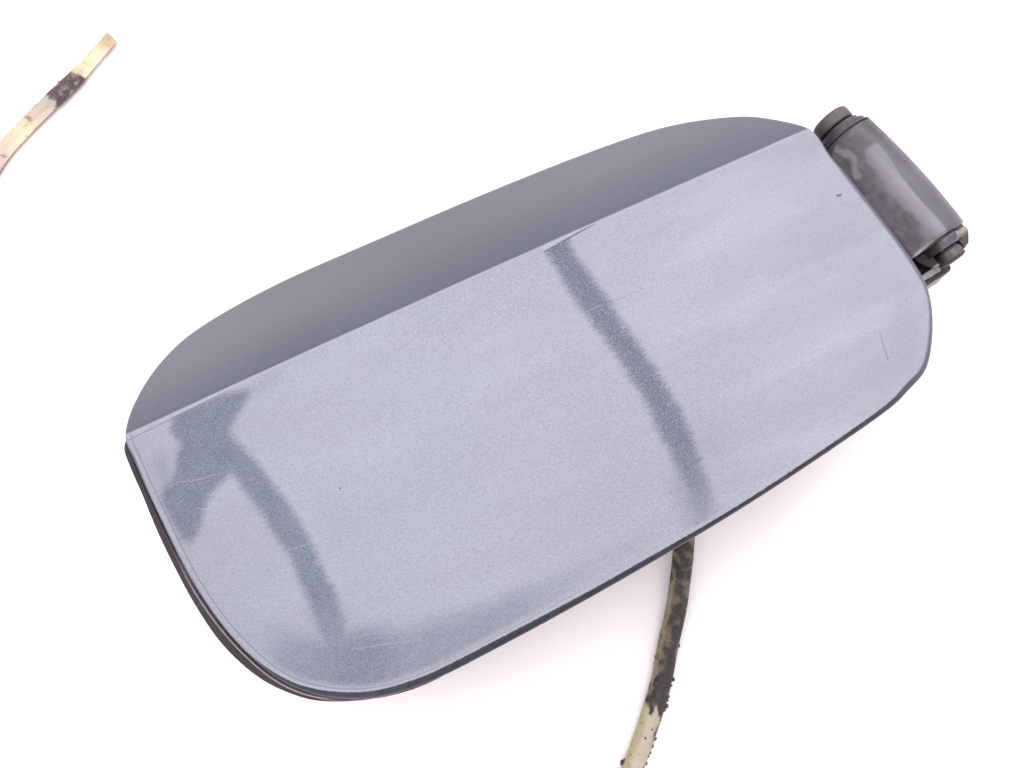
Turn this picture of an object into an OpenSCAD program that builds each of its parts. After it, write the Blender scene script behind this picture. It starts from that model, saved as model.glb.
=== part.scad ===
// Fuel filler flap assembly: a creased lid on a gooseneck hinge, closed on its
// housing, lying on its back. Millimetres, +Z is the lid's outside.
// Origin: middle of the filler neck's opening at the housing's rear plane.
// X runs along the lid's crease towards the hinge, Y towards the sloping edge.

/* [Lid] */
// Height of the crease above the rear plane
lid_h = 62; // [61.6:0.1:63]
// Thickness of the outer panel
skin_t = 1; // [0.8:0.1:1.2]
// Radius of the rolled edge
edge_r = 2; // [1.6:0.1:2.2]
// Depth of the turned-in edge below the face
edge_d = 6; // [5.2:0.1:6]
// Drop of the face towards both ends of the crease
crown_x = 2; // [1.6:0.1:2.2]
// Drop of the large face towards its far edge
crown_y = 5; // [4.6:0.1:5.2]
// Slope of the narrow face beyond the crease
facet_slope = 0.30; // [0.28:0.01:0.31]
// Thickness of the inner panel
carrier_t = 2.2; // [2:0.1:2.6]

/* [Hinge] */
// Diameter of the hinge pin
pin_d = 5; // [4.8:0.1:5.2]
// Diameter of the pin's disc head
pin_head_d = 10.4; // [9:0.1:11]
// Largest diameter of the hinge barrel
barrel_d = 17.8; // [17.4:0.1:18]
// Wall of the barrel
barrel_t = 2.2; // [2:0.1:2.3]
// Radial play between pin and bushes
pin_play = 0.05; // [0.03:0.01:0.09]

/* [Housing] */
// Wall thickness of the housing
wall = 2.5; // [2.2:0.1:2.8]
// Height of the flange's top face
flange_z = 44; // [43.8:0.1:44.2]
// Diameter of the opening for the filler neck
neck_d = 58; // [54:1:60]
// Diameter of the fixing holes in the flange
bolt_d = 5.2; // [4.2:0.1:5.6]
// Width of the rubber strip on the flange
seal_w = 2.5; // [2.2:0.1:2.7]

/* [Latch] */
// Diameter of the latch plunger
plunger_d = 8.2; // [7.8:0.1:8.4]
// Play of the plunger in its housing
plunger_play = 0.08; // [0.05:0.01:0.1]

/* [Hose] */
// Outer diameter of the drain hose
hose_d = 7; // [6.4:0.1:7.2]

/* [Hidden] */
$fn = 48;

hinge_at = [124.2, 13.5, 49];   // middle of the pin
hinge_turn = 11.7;              // pin's angle to Y
latch_x = -96;
// the crease runs a fifth of a degree off X
function crease(x) = 37.25 - 0.0033 * (x + 5);

// ---- curves -------------------------------------------------------------
function cr(a, b, c, d, t) =
  0.5 * (2 * b + (c - a) * t + (2 * a - 5 * b + 4 * c - d) * t * t
         + (3 * b - a - 3 * c + d) * t * t * t);
function closed_curve(P, n) = let (L = len(P))
  [for (i = [0:L - 1], k = [0:n - 1])
    cr(P[(i + L - 1) % L], P[i], P[(i + 1) % L], P[(i + 2) % L], k / n)];
function open_curve(P, n) = let (L = len(P))
  concat([for (i = [0:L - 2], k = [0:n - 1])
    cr(P[max(i - 1, 0)], P[i], P[i + 1], P[min(i + 2, L - 1)], k / n)],
    [P[L - 1]]);
function unit(v) = v / norm(v);
function arc(cx, cy, r, a0, a1, n) =
  [for (k = [0:n]) let (a = a0 + (a1 - a0) * k / n) [cx + r * cos(a), cy + r * sin(a)]];
function rrect(x0, x1, y0, y1, r, n) = concat(
  arc(x1 - r, y1 - r, r, 0, 90, n), arc(x0 + r, y1 - r, r, 90, 180, n),
  arc(x0 + r, y0 + r, r, 180, 270, n), arc(x1 - r, y0 + r, r, 270, 360, n));

// ---- the lid's outline, clockwise from the crease's far end -----------------
lid_pts = [[-120.8, crease(-120.8)], [-116.4, 48.2], [-105.9, 58.3], [-89.9, 64.8],
  [-60, 67.5], [-20, 66.4], [20, 64.8], [54, 62.4], [74.9, 59.2], [92.2, 52.7],
  [101.6, 46], [108.9, crease(108.9)], [110.5, 26.7], [112.7, 16], [116.7, -9.8],
  [115.7, -22.6], [108.3, -36.4], [100.1, -41.6], [88.2, -45.4], [49.9, -53.4],
  [10, -59.8], [-30, -64.7], [-56, -66.6], [-75.3, -63.6], [-92.7, -53.7],
  [-104.2, -37.5], [-112.2, -16], [-117.1, 10], [-119.9, 28]];
per = 4;
lid_line = closed_curve(lid_pts, per);
LN = len(lid_line);
crease_a = 0;
crease_b = 11 * per;
crease_u = unit([1, crease(1) - crease(0)]);
function lid_n(i) = i == crease_a ? -crease_u : i == crease_b ? crease_u :
  let (t = unit(lid_line[(i + 1) % LN] - lid_line[(i + LN - 1) % LN])) [-t[1], t[0]];
function face_z(p) = lid_h - crown_x * pow((p[0] + 3) / 115, 2)
  - (p[1] < crease(p[0]) ? crown_y * pow((p[1] - crease(p[0])) / 104, 2)
                         : facet_slope * (p[1] - crease(p[0])));
lid_mid = [-5, crease(-5)];
function inset(i, d) = lid_line[i] - d * lid_n(i);
// a ring scaled towards the middle of the crease, dz below the face
function ring_in(s, d, dz) = [for (i = [0:LN - 1])
  let (q = lid_mid + s * (inset(i, d) - lid_mid)) [q[0], q[1], face_z(q) - dz]];
// a ring at inset d, dz below the face at the start of the rolled edge
function ring_edge(d, dz) = [for (i = [0:LN - 1])
  let (q = inset(i, d), z = face_z(inset(i, edge_r))) [q[0], q[1], z - dz]];

// closed body from a stack of rings, centre point at both ends
module ring_body(R, top, bottom) {
  n = len(R[0]);
  k = len(R);
  pts = concat([top], [for (r = R, p = r) p], [bottom]);
  function id(r, i) = 1 + r * n + i % n;
  polyhedron(pts, concat(
    [for (i = [0:n - 1]) [0, id(0, i), id(0, i + 1)]],
    [for (r = [0:k - 2], i = [0:n - 1]) [id(r, i), id(r + 1, i), id(r + 1, i + 1)]],
    [for (r = [0:k - 2], i = [0:n - 1]) [id(r, i), id(r + 1, i + 1), id(r, i + 1)]],
    [for (i = [0:n - 1]) [1 + k * n, id(k - 1, i + 1), id(k - 1, i)]]), convexity = 8);
}

// tube or strip: k sections of n points, closed at both ends
module section_body(S) {
  n = len(S[0]);
  k = len(S);
  pts = [for (s = S, p = s) p];
  function id(r, i) = r * n + i % n;
  polyhedron(pts, concat(
    [for (r = [0:k - 2], i = [0:n - 1]) [id(r, i), id(r, i + 1), id(r + 1, i + 1)]],
    [for (r = [0:k - 2], i = [0:n - 1]) [id(r, i), id(r + 1, i + 1), id(r + 1, i)]],
    [for (i = [1:n - 2]) [id(0, 0), id(0, i + 1), id(0, i)]],
    [for (i = [1:n - 2]) [id(k - 1, 0), id(k - 1, i), id(k - 1, i + 1)]]), convexity = 10);
}

// ---- lid -----------------------------------------------------------------
scales = [0.25, 0.5, 0.75, 0.9, 1];
module lid_skin() {
  m = lid_mid;
  zt = face_z(m);
  color([0.68, 0.69, 0.76]) ring_body(concat(
    [for (s = scales) ring_in(s, edge_r, 0)],
    [for (a = [30, 60, 90]) ring_edge(edge_r - edge_r * sin(a), edge_r * (1 - cos(a)))],
    [ring_edge(0, edge_d), ring_edge(skin_t, edge_d), ring_edge(skin_t, edge_r + 0.3)],
    [for (s = [1, 0.9, 0.75, 0.5, 0.25]) ring_in(s, s == 1 ? edge_r + 0.2 : edge_r, skin_t)]),
    [m[0], m[1], zt], [m[0], m[1], zt - skin_t]);
}

// inner panel, bonded under the skin over a thin layer of adhesive
module lid_carrier() {
  m = lid_mid;
  zt = face_z(m);
  g = skin_t + 0.35;
  color([0.16, 0.16, 0.17]) ring_body(concat(
    [for (s = scales) ring_in(s, edge_r + 2, g)],
    [for (s = [1, 0.75, 0.5, 0.25]) ring_in(s, edge_r + 2, g + carrier_t)]),
    [m[0], m[1], zt - g], [m[0], m[1], zt - g - carrier_t]);
}

module at_hinge() translate(hinge_at) rotate([0, 0, hinge_turn]) children();
// children drawn in X-Y are stood up in X-Z and run from y0 to y1
module along_pin(y0, y1) translate([0, y1, 0]) rotate([90, 0, 0]) linear_extrude(y1 - y0) children();
// cylinder on the pin's axis
module pin_cyl(r, y0, y1) translate([0, y0, 0]) rotate([-90, 0, 0]) cylinder(r = r, h = y1 - y0);

barrel_y0 = -19.8;
barrel_y1 = 20.6;
web = 3.5;
bush_r = pin_d / 2 + 1.1;
function barrel_r(y) = barrel_d / 2 - 0.9 * pow((y + 1) / 21.5, 2);
ear_y0 = -20.4;
ear_y1 = 21.1;
screw_at = [[-46, -10], [-46, 10], [-31, 0]];

module hinge_arm() color([0.46, 0.44, 0.45]) at_hinge() {
  ys = [for (k = [0:12]) barrel_y0 + 0.6 + (barrel_y1 - barrel_y0 - 1.2) * k / 12];
  in_ys = [for (k = [0:8]) barrel_y0 + web + (barrel_y1 - barrel_y0 - 2 * web) * k / 8];
  difference() {
    union() {
      difference() {
        rotate([-90, 0, 0]) rotate_extrude() polygon(concat(
          [[bush_r + 0.05, barrel_y0], [barrel_r(barrel_y0) - 0.6, barrel_y0]],
          [for (y = ys) [barrel_r(y), y]],
          [[barrel_r(barrel_y1) - 0.6, barrel_y1], [bush_r + 0.05, barrel_y1],
           [bush_r + 0.05, barrel_y1 - web]],
          [for (k = [8:-1:0]) [barrel_r(in_ys[k]) - barrel_t, in_ys[k]]],
          [[bush_r + 0.05, barrel_y0 + web]]));
        // the barrel is open along its underside
        along_pin(barrel_y0 + web + 0.4, barrel_y1 - web - 0.4)
          polygon([[-2.4, -4.4], [4.5, -4.4], [6.5, -12], [-2.4, -12]]);
      }
      // gooseneck: dips under the lid's edge and rises to the mounting plate
      along_pin(-15, 15) polygon([[-26, 2], [-21.2, -9], [-17.2, -13.2],
        [-2.6, -13.2], [-2.6, -7.9], [-5.8, -6.3], [-5.8, -10.2], [-15.8, -10.2],
        [-18.4, -7.6], [-23.2, 5], [-26, 5]]);
      along_pin(-17, 17) polygon([[-53, 2], [-24.4, 2], [-24.4, 5], [-53, 5]]);
      // stiffening ribs on the neck
      for (y = [-11, 9]) along_pin(y, y + 2)
        polygon([[-30, 4.6], [-23.6, 4.6], [-18.9, -7.2], [-16.2, -9.8], [-14, -9.8], [-15.5, -6.5], [-20, 5.6], [-30, 7.4]]);
      for (s = screw_at) translate([s[0], s[1], 4.5]) cylinder(r = 6, h = 4.1);
    }
    for (s = screw_at) translate([s[0], s[1], 0]) cylinder(r = 3.3, h = 12);
  }
}

module arm_screws() color([0.55, 0.55, 0.56]) at_hinge()
  for (s = screw_at) translate([s[0], s[1], -1.8]) difference() {
    union() {
      cylinder(r = 5, h = 3.8);
      cylinder(r = 3, h = 10.8);
    }
    translate([0, 0, -1]) cylinder(r = 2.6, h = 3, $fn = 6);
  }

buffer_at = [[-104, 26], [-99, -27]];
module lid_buffers() color([0.1, 0.1, 0.1])
  for (b = buffer_at) translate([b[0], b[1], flange_z + 0.4]) {
    cylinder(r = 4, h = 3);
    translate([0, 0, 2.9]) cylinder(r1 = 4, r2 = 3, h = 1);
    translate([0, 0, 3.8]) cylinder(r = 3, h = 8.9);
  }

post_y = 16;
module latch_striker() color([0.75, 0.75, 0.76]) difference() {
  union() {
    translate([latch_x - 7, -post_y - 5, 47.2]) cube([14, 2 * post_y + 10, 2]);
    for (s = [-1, 1]) translate([latch_x, s * post_y, 47.2]) cylinder(r = 5, h = 10.1);
  }
  translate([latch_x - 2.9, -7, 46]) cube([5.8, 14, 5]);
  for (s = [-1, 1]) translate([latch_x, s * post_y, 46]) cylinder(r = 2.3, h = 14);
}

module striker_screws() color([0.55, 0.55, 0.56])
  for (s = [-1, 1]) translate([latch_x, s * post_y, 45.2]) difference() {
    union() {
      cylinder(r = 3.6, h = 2);
      cylinder(r = 2, h = 12.4);
    }
    translate([0, 0, -1]) cylinder(r = 1.7, h = 2, $fn = 6);
  }

// hook for the fuel cap while the tank is filled
module cap_holder() color([0.14, 0.14, 0.15]) translate([-2, -6, 0]) {
  difference() {
    translate([0, 0, 46.6]) cylinder(r = 20, h = 2.4);
    translate([0, 0, 46]) cylinder(r = 15.5, h = 4);
    translate([-25, -40, 46]) cube([50, 32, 4]);
  }
  for (a = [20, 90, 160]) translate([17.7 * cos(a), 17.7 * sin(a), 48.5]) cylinder(r = 2.2, h = 10.3);
  for (a = [-24, 204]) translate([17.7 * cos(a), 17.7 * sin(a), 46.6]) cylinder(r = 2.25, h = 3.2);
}

module pin_bushes() color([0.8, 0.78, 0.7]) at_hinge() difference() {
  union() {
    pin_cyl(bush_r, barrel_y0 - 0.45, barrel_y0 + web);
    pin_cyl(4.7, barrel_y0 - 0.45, barrel_y0 - 0.02);
    pin_cyl(bush_r, barrel_y1 - web, barrel_y1 + 0.35);
    pin_cyl(4.7, barrel_y1 + 0.02, barrel_y1 + 0.35);
  }
  pin_cyl(pin_d / 2 + pin_play, -30, 30);
}

// ---- housing -------------------------------------------------------------
// outer edge of the rubber strip: x, y, height of its top
seal_pts = [[101.5, 36.5, 47], [95, 43.5, 47], [86, 49.5, 47], [72, 54.8, 47],
  [50, 58.2, 47], [20, 60.3, 47], [-20, 61.8, 47], [-60, 62.2, 47],
  [-84, 60, 47], [-99, 54.8, 47.4], [-110.4, 49.6, 48.6], [-119.4, 44.8, 50],
  [-124.6, 40.4, 51.6], [-126.3, 36.3, 53], [-126, 30, 53],
  [-124.4, 19.1, 53], [-123, 8.1, 53], [-120.9, -3.8, 53], [-117.2, -19.8, 53],
  [-111.8, -34.9, 53], [-103.3, -48.1, 53], [-93.8, -57.4, 51.2],
  [-84.6, -62.3, 50.2], [-71.8, -65.8, 50], [-58, -66.8, 50], [-44, -65, 50],
  [-28, -61.2, 49.6], [0, -56.4, 49.2], [30, -51.8, 49], [60, -46.6, 49],
  [86, -39.6, 49], [101, -31.5, 49], [108.3, -22.5, 49]];
seal_line = open_curve(seal_pts, 3);
SN = len(seal_line);
function seal_dir(i) = unit([for (c = [0, 1])
  seal_line[min(i + 1, SN - 1)][c] - seal_line[max(i - 1, 0)][c]]);
function seal_off(i, d) = let (t = seal_dir(i)) [seal_line[i][0] + d * t[1], seal_line[i][1] - d * t[0]];
flange_line = concat([for (i = [0:SN - 1]) seal_off(i, 0.8)], [[114.4, -18.1], [103.2, 35.7]]);

function on_seal(i, d, z) = let (q = seal_off(i, d)) [q[0], q[1], z];
// a foot on the flange and a slimmer lip whose top rises and falls
module rim_seal() color([0.07, 0.07, 0.07]) section_body([for (i = [0:SN - 1])
  let (top = seal_line[i][2], f = flange_z) [
    on_seal(i, -seal_w - 1.4, f), on_seal(i, -seal_w - 1.4, f + 1.6),
    on_seal(i, -seal_w, f + 2.2), on_seal(i, -seal_w, top - 0.7),
    on_seal(i, -seal_w + 0.7, top), on_seal(i, -0.7, top),
    on_seal(i, 0, top - 0.7), on_seal(i, 0, f)]]);

bolt_x = 84;
bolt_y = 35.5;
bolt_mid = 5.5;
nip_at = [38, -40, 13];
nip_dir = [-0.454, -0.891, 0];
nip_turn = atan2(nip_dir[1], nip_dir[0]);
module on_nipple(s) translate(nip_at + s * nip_dir) rotate([0, 0, nip_turn]) rotate([0, 90, 0]) children();

module filler_bowl() color([0.2, 0.18, 0.17]) difference() {
  union() {
    translate([0, 0, 11 - wall]) linear_extrude(flange_z - 11 + wall)
      polygon(rrect(-74 - wall, 86 + wall, -43 - wall, 48 + wall, 36 + wall, 10));
    translate([0, 0, flange_z - wall]) linear_extrude(wall) polygon(flange_line);
    on_nipple(0) cylinder(r = 2.6, h = 16);
    on_nipple(2) cylinder(r = 4.4, h = 4.2);
    at_hinge() {
      // pocket that holds the hinge, with an ear at each end
      translate([-50, -24.2, -17.5]) cube([49.5 + 2, 47.6, 12.5]);
      translate([-9, -24.2, -17.5]) cube([14, 3.8, 14.5]);
      translate([5, -20.6, -17.5]) cylinder(r = 3.6, h = 17.5);
      translate([-6.4, ear_y1, -17.5]) cube([12.8, 2.3, 17.5]);
      // lower ear: a low dome, open above, round the end of the pin
      difference() {
        rotate([-90, 0, 0]) rotate_extrude() polygon([[0, -25.5], [4.5, -25.5],
          [5.9, -24.9], [7, -23.5], [7.8, -22.4], [8.2, -21.5], [8.3, ear_y0], [0, ear_y0]]);
        translate([-10, -30, 1]) cube([20, 20, 12]);
      }
      pin_cyl(5.5, -22.7, ear_y0);
      // upper ear
      pin_cyl(7.2, ear_y1, 22.4);
      pin_cyl(6, 22.4, 23.8);
      intersection() {
        pin_cyl(12.8, ear_y0, ear_y1);
        translate([-0.5, -30, -14]) cube([14, 60, 8]);
      }
      // short wall beyond the lower ear
      translate([-18, -28.2, -17.5]) cube([16.9, 3.2, 12.5]);
      translate([-1.1, -26.6, -17.5]) cylinder(r = 1.6, h = 12.5, $fn = 32);
      translate([-18, -28.2, -17.5]) cube([18, 8, 2]);
    }
  }
  translate([0, 0, 11]) linear_extrude(60) polygon(rrect(-74, 86, -43, 48, 36, 10));
  translate([0, 0, -1]) cylinder(r = 36, h = 20, $fn = 64);
  translate([latch_x, 0, 30]) cylinder(r = 8.1, h = 20);
  for (sx = [-1, 1], sy = [-1, 1])
    translate([sx * bolt_x, bolt_mid + sy * bolt_y, 30]) cylinder(r = bolt_d / 2, h = 20, $fn = 32);
  on_nipple(-8) cylinder(r = 1.5, h = 30, $fn = 24);
  at_hinge() {
    translate([-64, ear_y0, -15.5]) cube([63.5, ear_y1 - ear_y0, 40]);
    pin_cyl(10.8, ear_y0, ear_y1);
    pin_cyl(pin_d / 2 + 0.05, -30, 30);
    pin_cyl(4.3, -40, -22.7);
  }
}

// foot of the housing, welded under the bowl's floor round the neck
module neck_collar() color([0.2, 0.18, 0.17]) rotate_extrude($fn = 64)
  polygon([[36, 0], [40.4, 0], [41, 0.6], [41, 8.45], [36, 8.45]]);

module neck_gaiter() color([0.09, 0.09, 0.09]) rotate_extrude($fn = 64)
  polygon([[neck_d / 2, 0], [neck_d / 2 + 2.2, 0], [neck_d / 2 + 2.6, 6.6],
    [neck_d / 2 + 3.8, 8.8], [35.8, 8.8], [35.8, 11.2], [38.5, 11.2],
    [38.5, 13.2], [33.4, 13.2], [neck_d / 2 + 2, 10.6], [neck_d / 2, 8]]);

module gaiter_ring() color([0.35, 0.35, 0.36]) rotate_extrude($fn = 64)
  polygon([[34.5, 13.4], [38.8, 13.4], [38.8, 11.1], [40, 11.1], [40, 14.6], [34.5, 14.6]]);

module hinge_pin() color([0.42, 0.42, 0.45]) at_hinge() {
  rotate([-90, 0, 0]) rotate_extrude() polygon([[0, -26.9], [2.9, -26.9], [3.5, -26.3],
    [3.5, -23.5], [3.2, -23.1], [pin_d / 2, -23.1], [pin_d / 2, 23.85], [4.2, 23.85],
    [4.2, 24.3], [pin_head_d / 2 - 0.6, 24.3], [pin_head_d / 2, 24.8],
    [pin_head_d / 2, 27.9], [pin_head_d / 2 - 0.8, 28.6], [0, 28.6]]);
}

// round wire wound about an axis along +Z
module coil(r, w, z0, z1, turns, steps, sides) {
  n = turns * steps;
  section_body([for (k = [0:n]) let (a = 360 * k / steps, z = z0 + (z1 - z0) * k / n)
    [for (j = [0:sides - 1]) let (b = 360 * (j + 0.5) / sides, q = r + w / 2 * cos(b))
      [q * cos(a), q * sin(a), z + w / 2 * sin(b)]]]);
}

module hinge_spring() color([0.5, 0.5, 0.52]) at_hinge() rotate([-90, 0, 0])
  coil(4.9, 1.3, -13.5, 13, 8, 14, 6);

module latch_housing() color([0.13, 0.13, 0.14]) translate([latch_x, 0, 0]) difference() {
  union() {
    translate([0, 0, 8]) cylinder(r = 7.8, h = flange_z - 8 + 0.5);
    translate([0, 0, flange_z + 0.05]) cylinder(r = 10.8, h = 1.9);
  }
  translate([0, 0, 10]) cylinder(r = 6.1, h = 28);
  translate([0, 0, 30]) cylinder(r = plunger_d / 2 + plunger_play, h = 20);
}

module latch_nut() color([0.2, 0.2, 0.2]) translate([latch_x, 0, flange_z - wall - 4.1]) difference() {
  cylinder(r = 11.5, h = 4, $fn = 6);
  translate([0, 0, -1]) cylinder(r = 7.75, h = 6);
}

module latch_spring() color([0.6, 0.6, 0.6]) translate([latch_x, 0, 0])
  coil(4.9, 1.1, 10.8, 25.2, 7, 12, 6);

module latch_plunger() color([0.85, 0.85, 0.82]) translate([latch_x, 0, 0]) {
  translate([0, 0, 26]) cylinder(r = 5.95, h = 3);
  translate([0, 0, 28.5]) cylinder(r = plunger_d / 2, h = 17.9);
  translate([0, 0, 46]) cylinder(r = 2.4, h = 4.5);
  intersection() {
    translate([-2.2, -6, 50]) cube([4.4, 12, 2.6]);
    translate([0, 0, 49]) cylinder(r = 6, h = 5);
  }
}

// route of the drain hose, from the nipple to its free end
route = [[35.7, -44.5, 13], [34.3, -47.2, 13], [30.7, -54.3, 12.8],
  [27.2, -61.3, 11], [22.8, -69, 8], [17.5, -77.6, 5.2], [11, -86.5, 3.8],
  [3.9, -96.8, 3.6], [-4, -106.2, 3.6], [-12.5, -115.4, 3.6],
  [-20.5, -122.6, 3.6], [-30, -127, 3.6], [-41, -127.6, 3.6],
  [-56, -123.2, 3.6], [-80, -114, 3.6], [-110, -103.5, 3.6],
  [-150, -89.5, 3.6], [-190, -75.6, 3.6], [-221, -64.6, 3.6],
  [-240, -55, 3.6], [-252, -41, 3.6], [-256, -24, 3.6], [-253, 0, 3.6],
  [-246, 32, 3.6], [-237.5, 66, 3.6], [-229, 100, 3.6], [-220, 134, 3.6],
  [-210.5, 164, 3.6], [-198, 187, 3.6], [-181, 203, 3.6], [-165, 211, 3.6],
  [-150, 217, 3.6], [-134, 223, 3.6], [-113, 233, 3.6]];
hose_line = concat([for (p = open_curve(route, 2)) p]);
HN = len(hose_line);
module drain_hose() color([0.72, 0.67, 0.56]) section_body([for (i = [0:HN - 1])
  let (p = hose_line[i], t = unit(hose_line[min(i + 1, HN - 1)] - hose_line[max(i - 1, 0)]),
       u = unit(cross(t, [0, 0, 1])), v = cross(u, t))
    [for (j = [0:7]) let (a = 45 * j + 22.5, r = hose_d / 2) p + r * cos(a) * u + r * sin(a) * v]]);

module hose_clip() color([0.55, 0.55, 0.57]) on_nipple(9) difference() {
  cylinder(r = hose_d / 2 + 1.1, h = 5);
  translate([0, 0, -1]) cylinder(r = hose_d / 2 + 0.3, h = 7);
  translate([-1.2, 0, -1]) cube([2.4, 8, 7]);
}

lid_skin();
lid_carrier();
hinge_arm();
arm_screws();
lid_buffers();
latch_striker();
striker_screws();
cap_holder();
pin_bushes();
filler_bowl();
neck_collar();
rim_seal();
neck_gaiter();
gaiter_ring();
hinge_pin();
hinge_spring();
latch_housing();
latch_nut();
latch_spring();
latch_plunger();
drain_hose();
hose_clip();
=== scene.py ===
import bpy
import bmesh
import math
import numpy as np
from mathutils import Matrix, Vector, noise


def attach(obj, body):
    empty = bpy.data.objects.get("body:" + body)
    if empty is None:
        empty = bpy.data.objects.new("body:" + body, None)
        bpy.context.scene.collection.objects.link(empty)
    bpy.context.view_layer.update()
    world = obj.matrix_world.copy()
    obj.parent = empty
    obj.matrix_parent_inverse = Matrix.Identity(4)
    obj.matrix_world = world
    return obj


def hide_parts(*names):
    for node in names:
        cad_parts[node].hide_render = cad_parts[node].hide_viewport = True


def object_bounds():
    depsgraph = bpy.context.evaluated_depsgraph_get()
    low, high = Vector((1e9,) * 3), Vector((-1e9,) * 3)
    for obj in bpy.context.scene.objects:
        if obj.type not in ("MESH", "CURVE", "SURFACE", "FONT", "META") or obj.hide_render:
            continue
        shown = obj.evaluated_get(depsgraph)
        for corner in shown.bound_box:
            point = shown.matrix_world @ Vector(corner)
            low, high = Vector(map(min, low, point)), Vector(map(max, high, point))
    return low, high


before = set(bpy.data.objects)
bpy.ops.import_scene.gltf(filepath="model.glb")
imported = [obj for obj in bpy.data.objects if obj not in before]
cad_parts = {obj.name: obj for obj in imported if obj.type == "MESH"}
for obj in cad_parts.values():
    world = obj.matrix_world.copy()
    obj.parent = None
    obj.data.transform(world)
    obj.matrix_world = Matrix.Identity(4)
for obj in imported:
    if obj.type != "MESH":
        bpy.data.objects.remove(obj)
BOUNDS0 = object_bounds()
scene = bpy.context.scene
scene.view_settings.view_transform = "Standard"
scene.view_settings.look = "None"

MM = 0.001


# ---------------------------------------------------------------------------
# camera
# ---------------------------------------------------------------------------
cam_data = bpy.data.cameras.new("cam")
cam_data.sensor_fit = "HORIZONTAL"
cam_data.sensor_width = 36.0
cam_data.lens = 28.125
cam_data.clip_start = 0.01
cam_data.clip_end = 20
cam = bpy.data.objects.new("cam", cam_data)
scene.collection.objects.link(cam)
right = Vector((0.91193, -0.36197, -0.19329)).normalized()
back = Vector((0.11337, -0.23046, 0.96645)).normalized()
up = back.cross(right).normalized()
right = up.cross(back).normalized()
m = Matrix((right, up, back)).transposed().to_4x4()
m.translation = Vector((27.84, -50.95, 285.08)) * MM
cam.matrix_world = m
scene.camera = cam


# ---------------------------------------------------------------------------
# helpers
# ---------------------------------------------------------------------------
def inside(verts):
    """keep what lies on the floor inside the box of the CAD model (mm)"""
    lo, hi = (np.array([c for c in b]) / MM for b in BOUNDS0)
    return np.clip(np.array(verts, float), lo + 0.03, hi - 0.03)


def mesh_object(name, verts, faces, smooth=True, scale=MM, attrs=None):
    me = bpy.data.meshes.new(name)
    v = np.asarray(verts, float) * scale
    me.from_pydata([tuple(p) for p in v], [], [tuple(int(i) for i in f) for f in faces])
    me.update()
    for n, a in (attrs or {}).items():
        at = me.attributes.new(n, "FLOAT", "POINT")
        at.data.foreach_set("value", np.asarray(a, np.float32))
    ob = bpy.data.objects.new(name, me)
    scene.collection.objects.link(ob)
    if smooth:
        me.shade_smooth()
    return ob


def clean_normals(ob):
    bm = bmesh.new()
    bm.from_mesh(ob.data)
    bmesh.ops.recalc_face_normals(bm, faces=bm.faces[:])
    bm.to_mesh(ob.data)
    bm.free()


def grid_faces(n_rings, n, closed_ring=True, offset=0):
    """quads between consecutive rings of n points"""
    f = []
    m_ = n if closed_ring else n - 1
    for r in range(n_rings - 1):
        for i in range(m_):
            a = offset + r * n + i
            b = offset + r * n + (i + 1) % n
            c = offset + (r + 1) * n + (i + 1) % n
            d = offset + (r + 1) * n + i
            f.append((a, b, c, d))
    return f


def cr(a, b, c, d, t):
    return 0.5 * (2 * b + (c - a) * t + (2 * a - 5 * b + 4 * c - d) * t * t
                  + (3 * b - a - 3 * c + d) * t * t * t)


def closed_curve(P, n):
    P = [np.array(p, float) for p in P]
    L = len(P)
    return np.array([cr(P[i - 1], P[i], P[(i + 1) % L], P[(i + 2) % L], k / n)
                     for i in range(L) for k in range(n)])


def open_curve(P, n):
    P = [np.array(p, float) for p in P]
    L = len(P)
    out = [cr(P[max(i - 1, 0)], P[i], P[i + 1], P[min(i + 2, L - 1)], k / n)
           for i in range(L - 1) for k in range(n)]
    return np.array(out + [P[-1]])


def resample(line, step):
    seg = np.linalg.norm(np.diff(line, axis=0), axis=1)
    s = np.concatenate([[0], np.cumsum(seg)])
    n = max(2, int(round(s[-1] / step)) + 1)
    t = np.linspace(0, s[-1], n)
    return np.stack([np.interp(t, s, line[:, k]) for k in range(line.shape[1])], 1), t


def smoothstep(e0, e1, x):
    t = np.clip((x - e0) / (e1 - e0), 0, 1)
    return t * t * (3 - 2 * t)


def nz(p, scale, seed=0.0):
    """cheap smooth noise at points p (N,3) in mm, about -1..1"""
    out = np.empty(len(p))
    for i, q in enumerate(p):
        out[i] = noise.noise(Vector((q[0] * scale + seed, q[1] * scale - seed, q[2] * scale + 2 * seed)))
    return out


# ---------------------------------------------------------------------------
# the drain hose: its facts first
# ---------------------------------------------------------------------------
ROUTE = [(35.7, -44.5, 13), (34.3, -47.2, 13), (30.7, -54.3, 12.8),
         (27.2, -61.3, 11), (22.8, -69, 8), (17.5, -77.6, 5.2), (11, -86.5, 3.8),
         (3.9, -96.8, 3.6), (-4, -106.2, 3.6), (-12.5, -115.4, 3.6),
         (-20.5, -122.6, 3.6), (-30, -127, 3.6), (-41, -127.6, 3.6),
         (-56, -123.2, 3.6), (-80, -114, 3.6), (-110, -103.5, 3.6),
         (-150, -89.5, 3.6), (-190, -75.6, 3.6), (-221, -64.6, 3.6),
         (-240, -55, 3.6), (-252, -41, 3.6), (-256, -24, 3.6), (-253, 0, 3.6),
         (-246, 32, 3.6), (-237.5, 66, 3.6), (-229, 100, 3.6), (-220, 134, 3.6),
         (-210.5, 164, 3.6), (-198, 187, 3.6), (-181, 203, 3.6), (-165, 211, 3.6),
         (-150, 217, 3.6), (-134, 223, 3.6), (-113, 233, 3.6)]
HOSE_D = 7.0
RIGHT = np.array([0.912, -0.362, -0.193])
line = open_curve(ROUTE, 12)
hose_line, hose_s = resample(line, 1.1)
HOSE_L = float(hose_s[-1])


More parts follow.
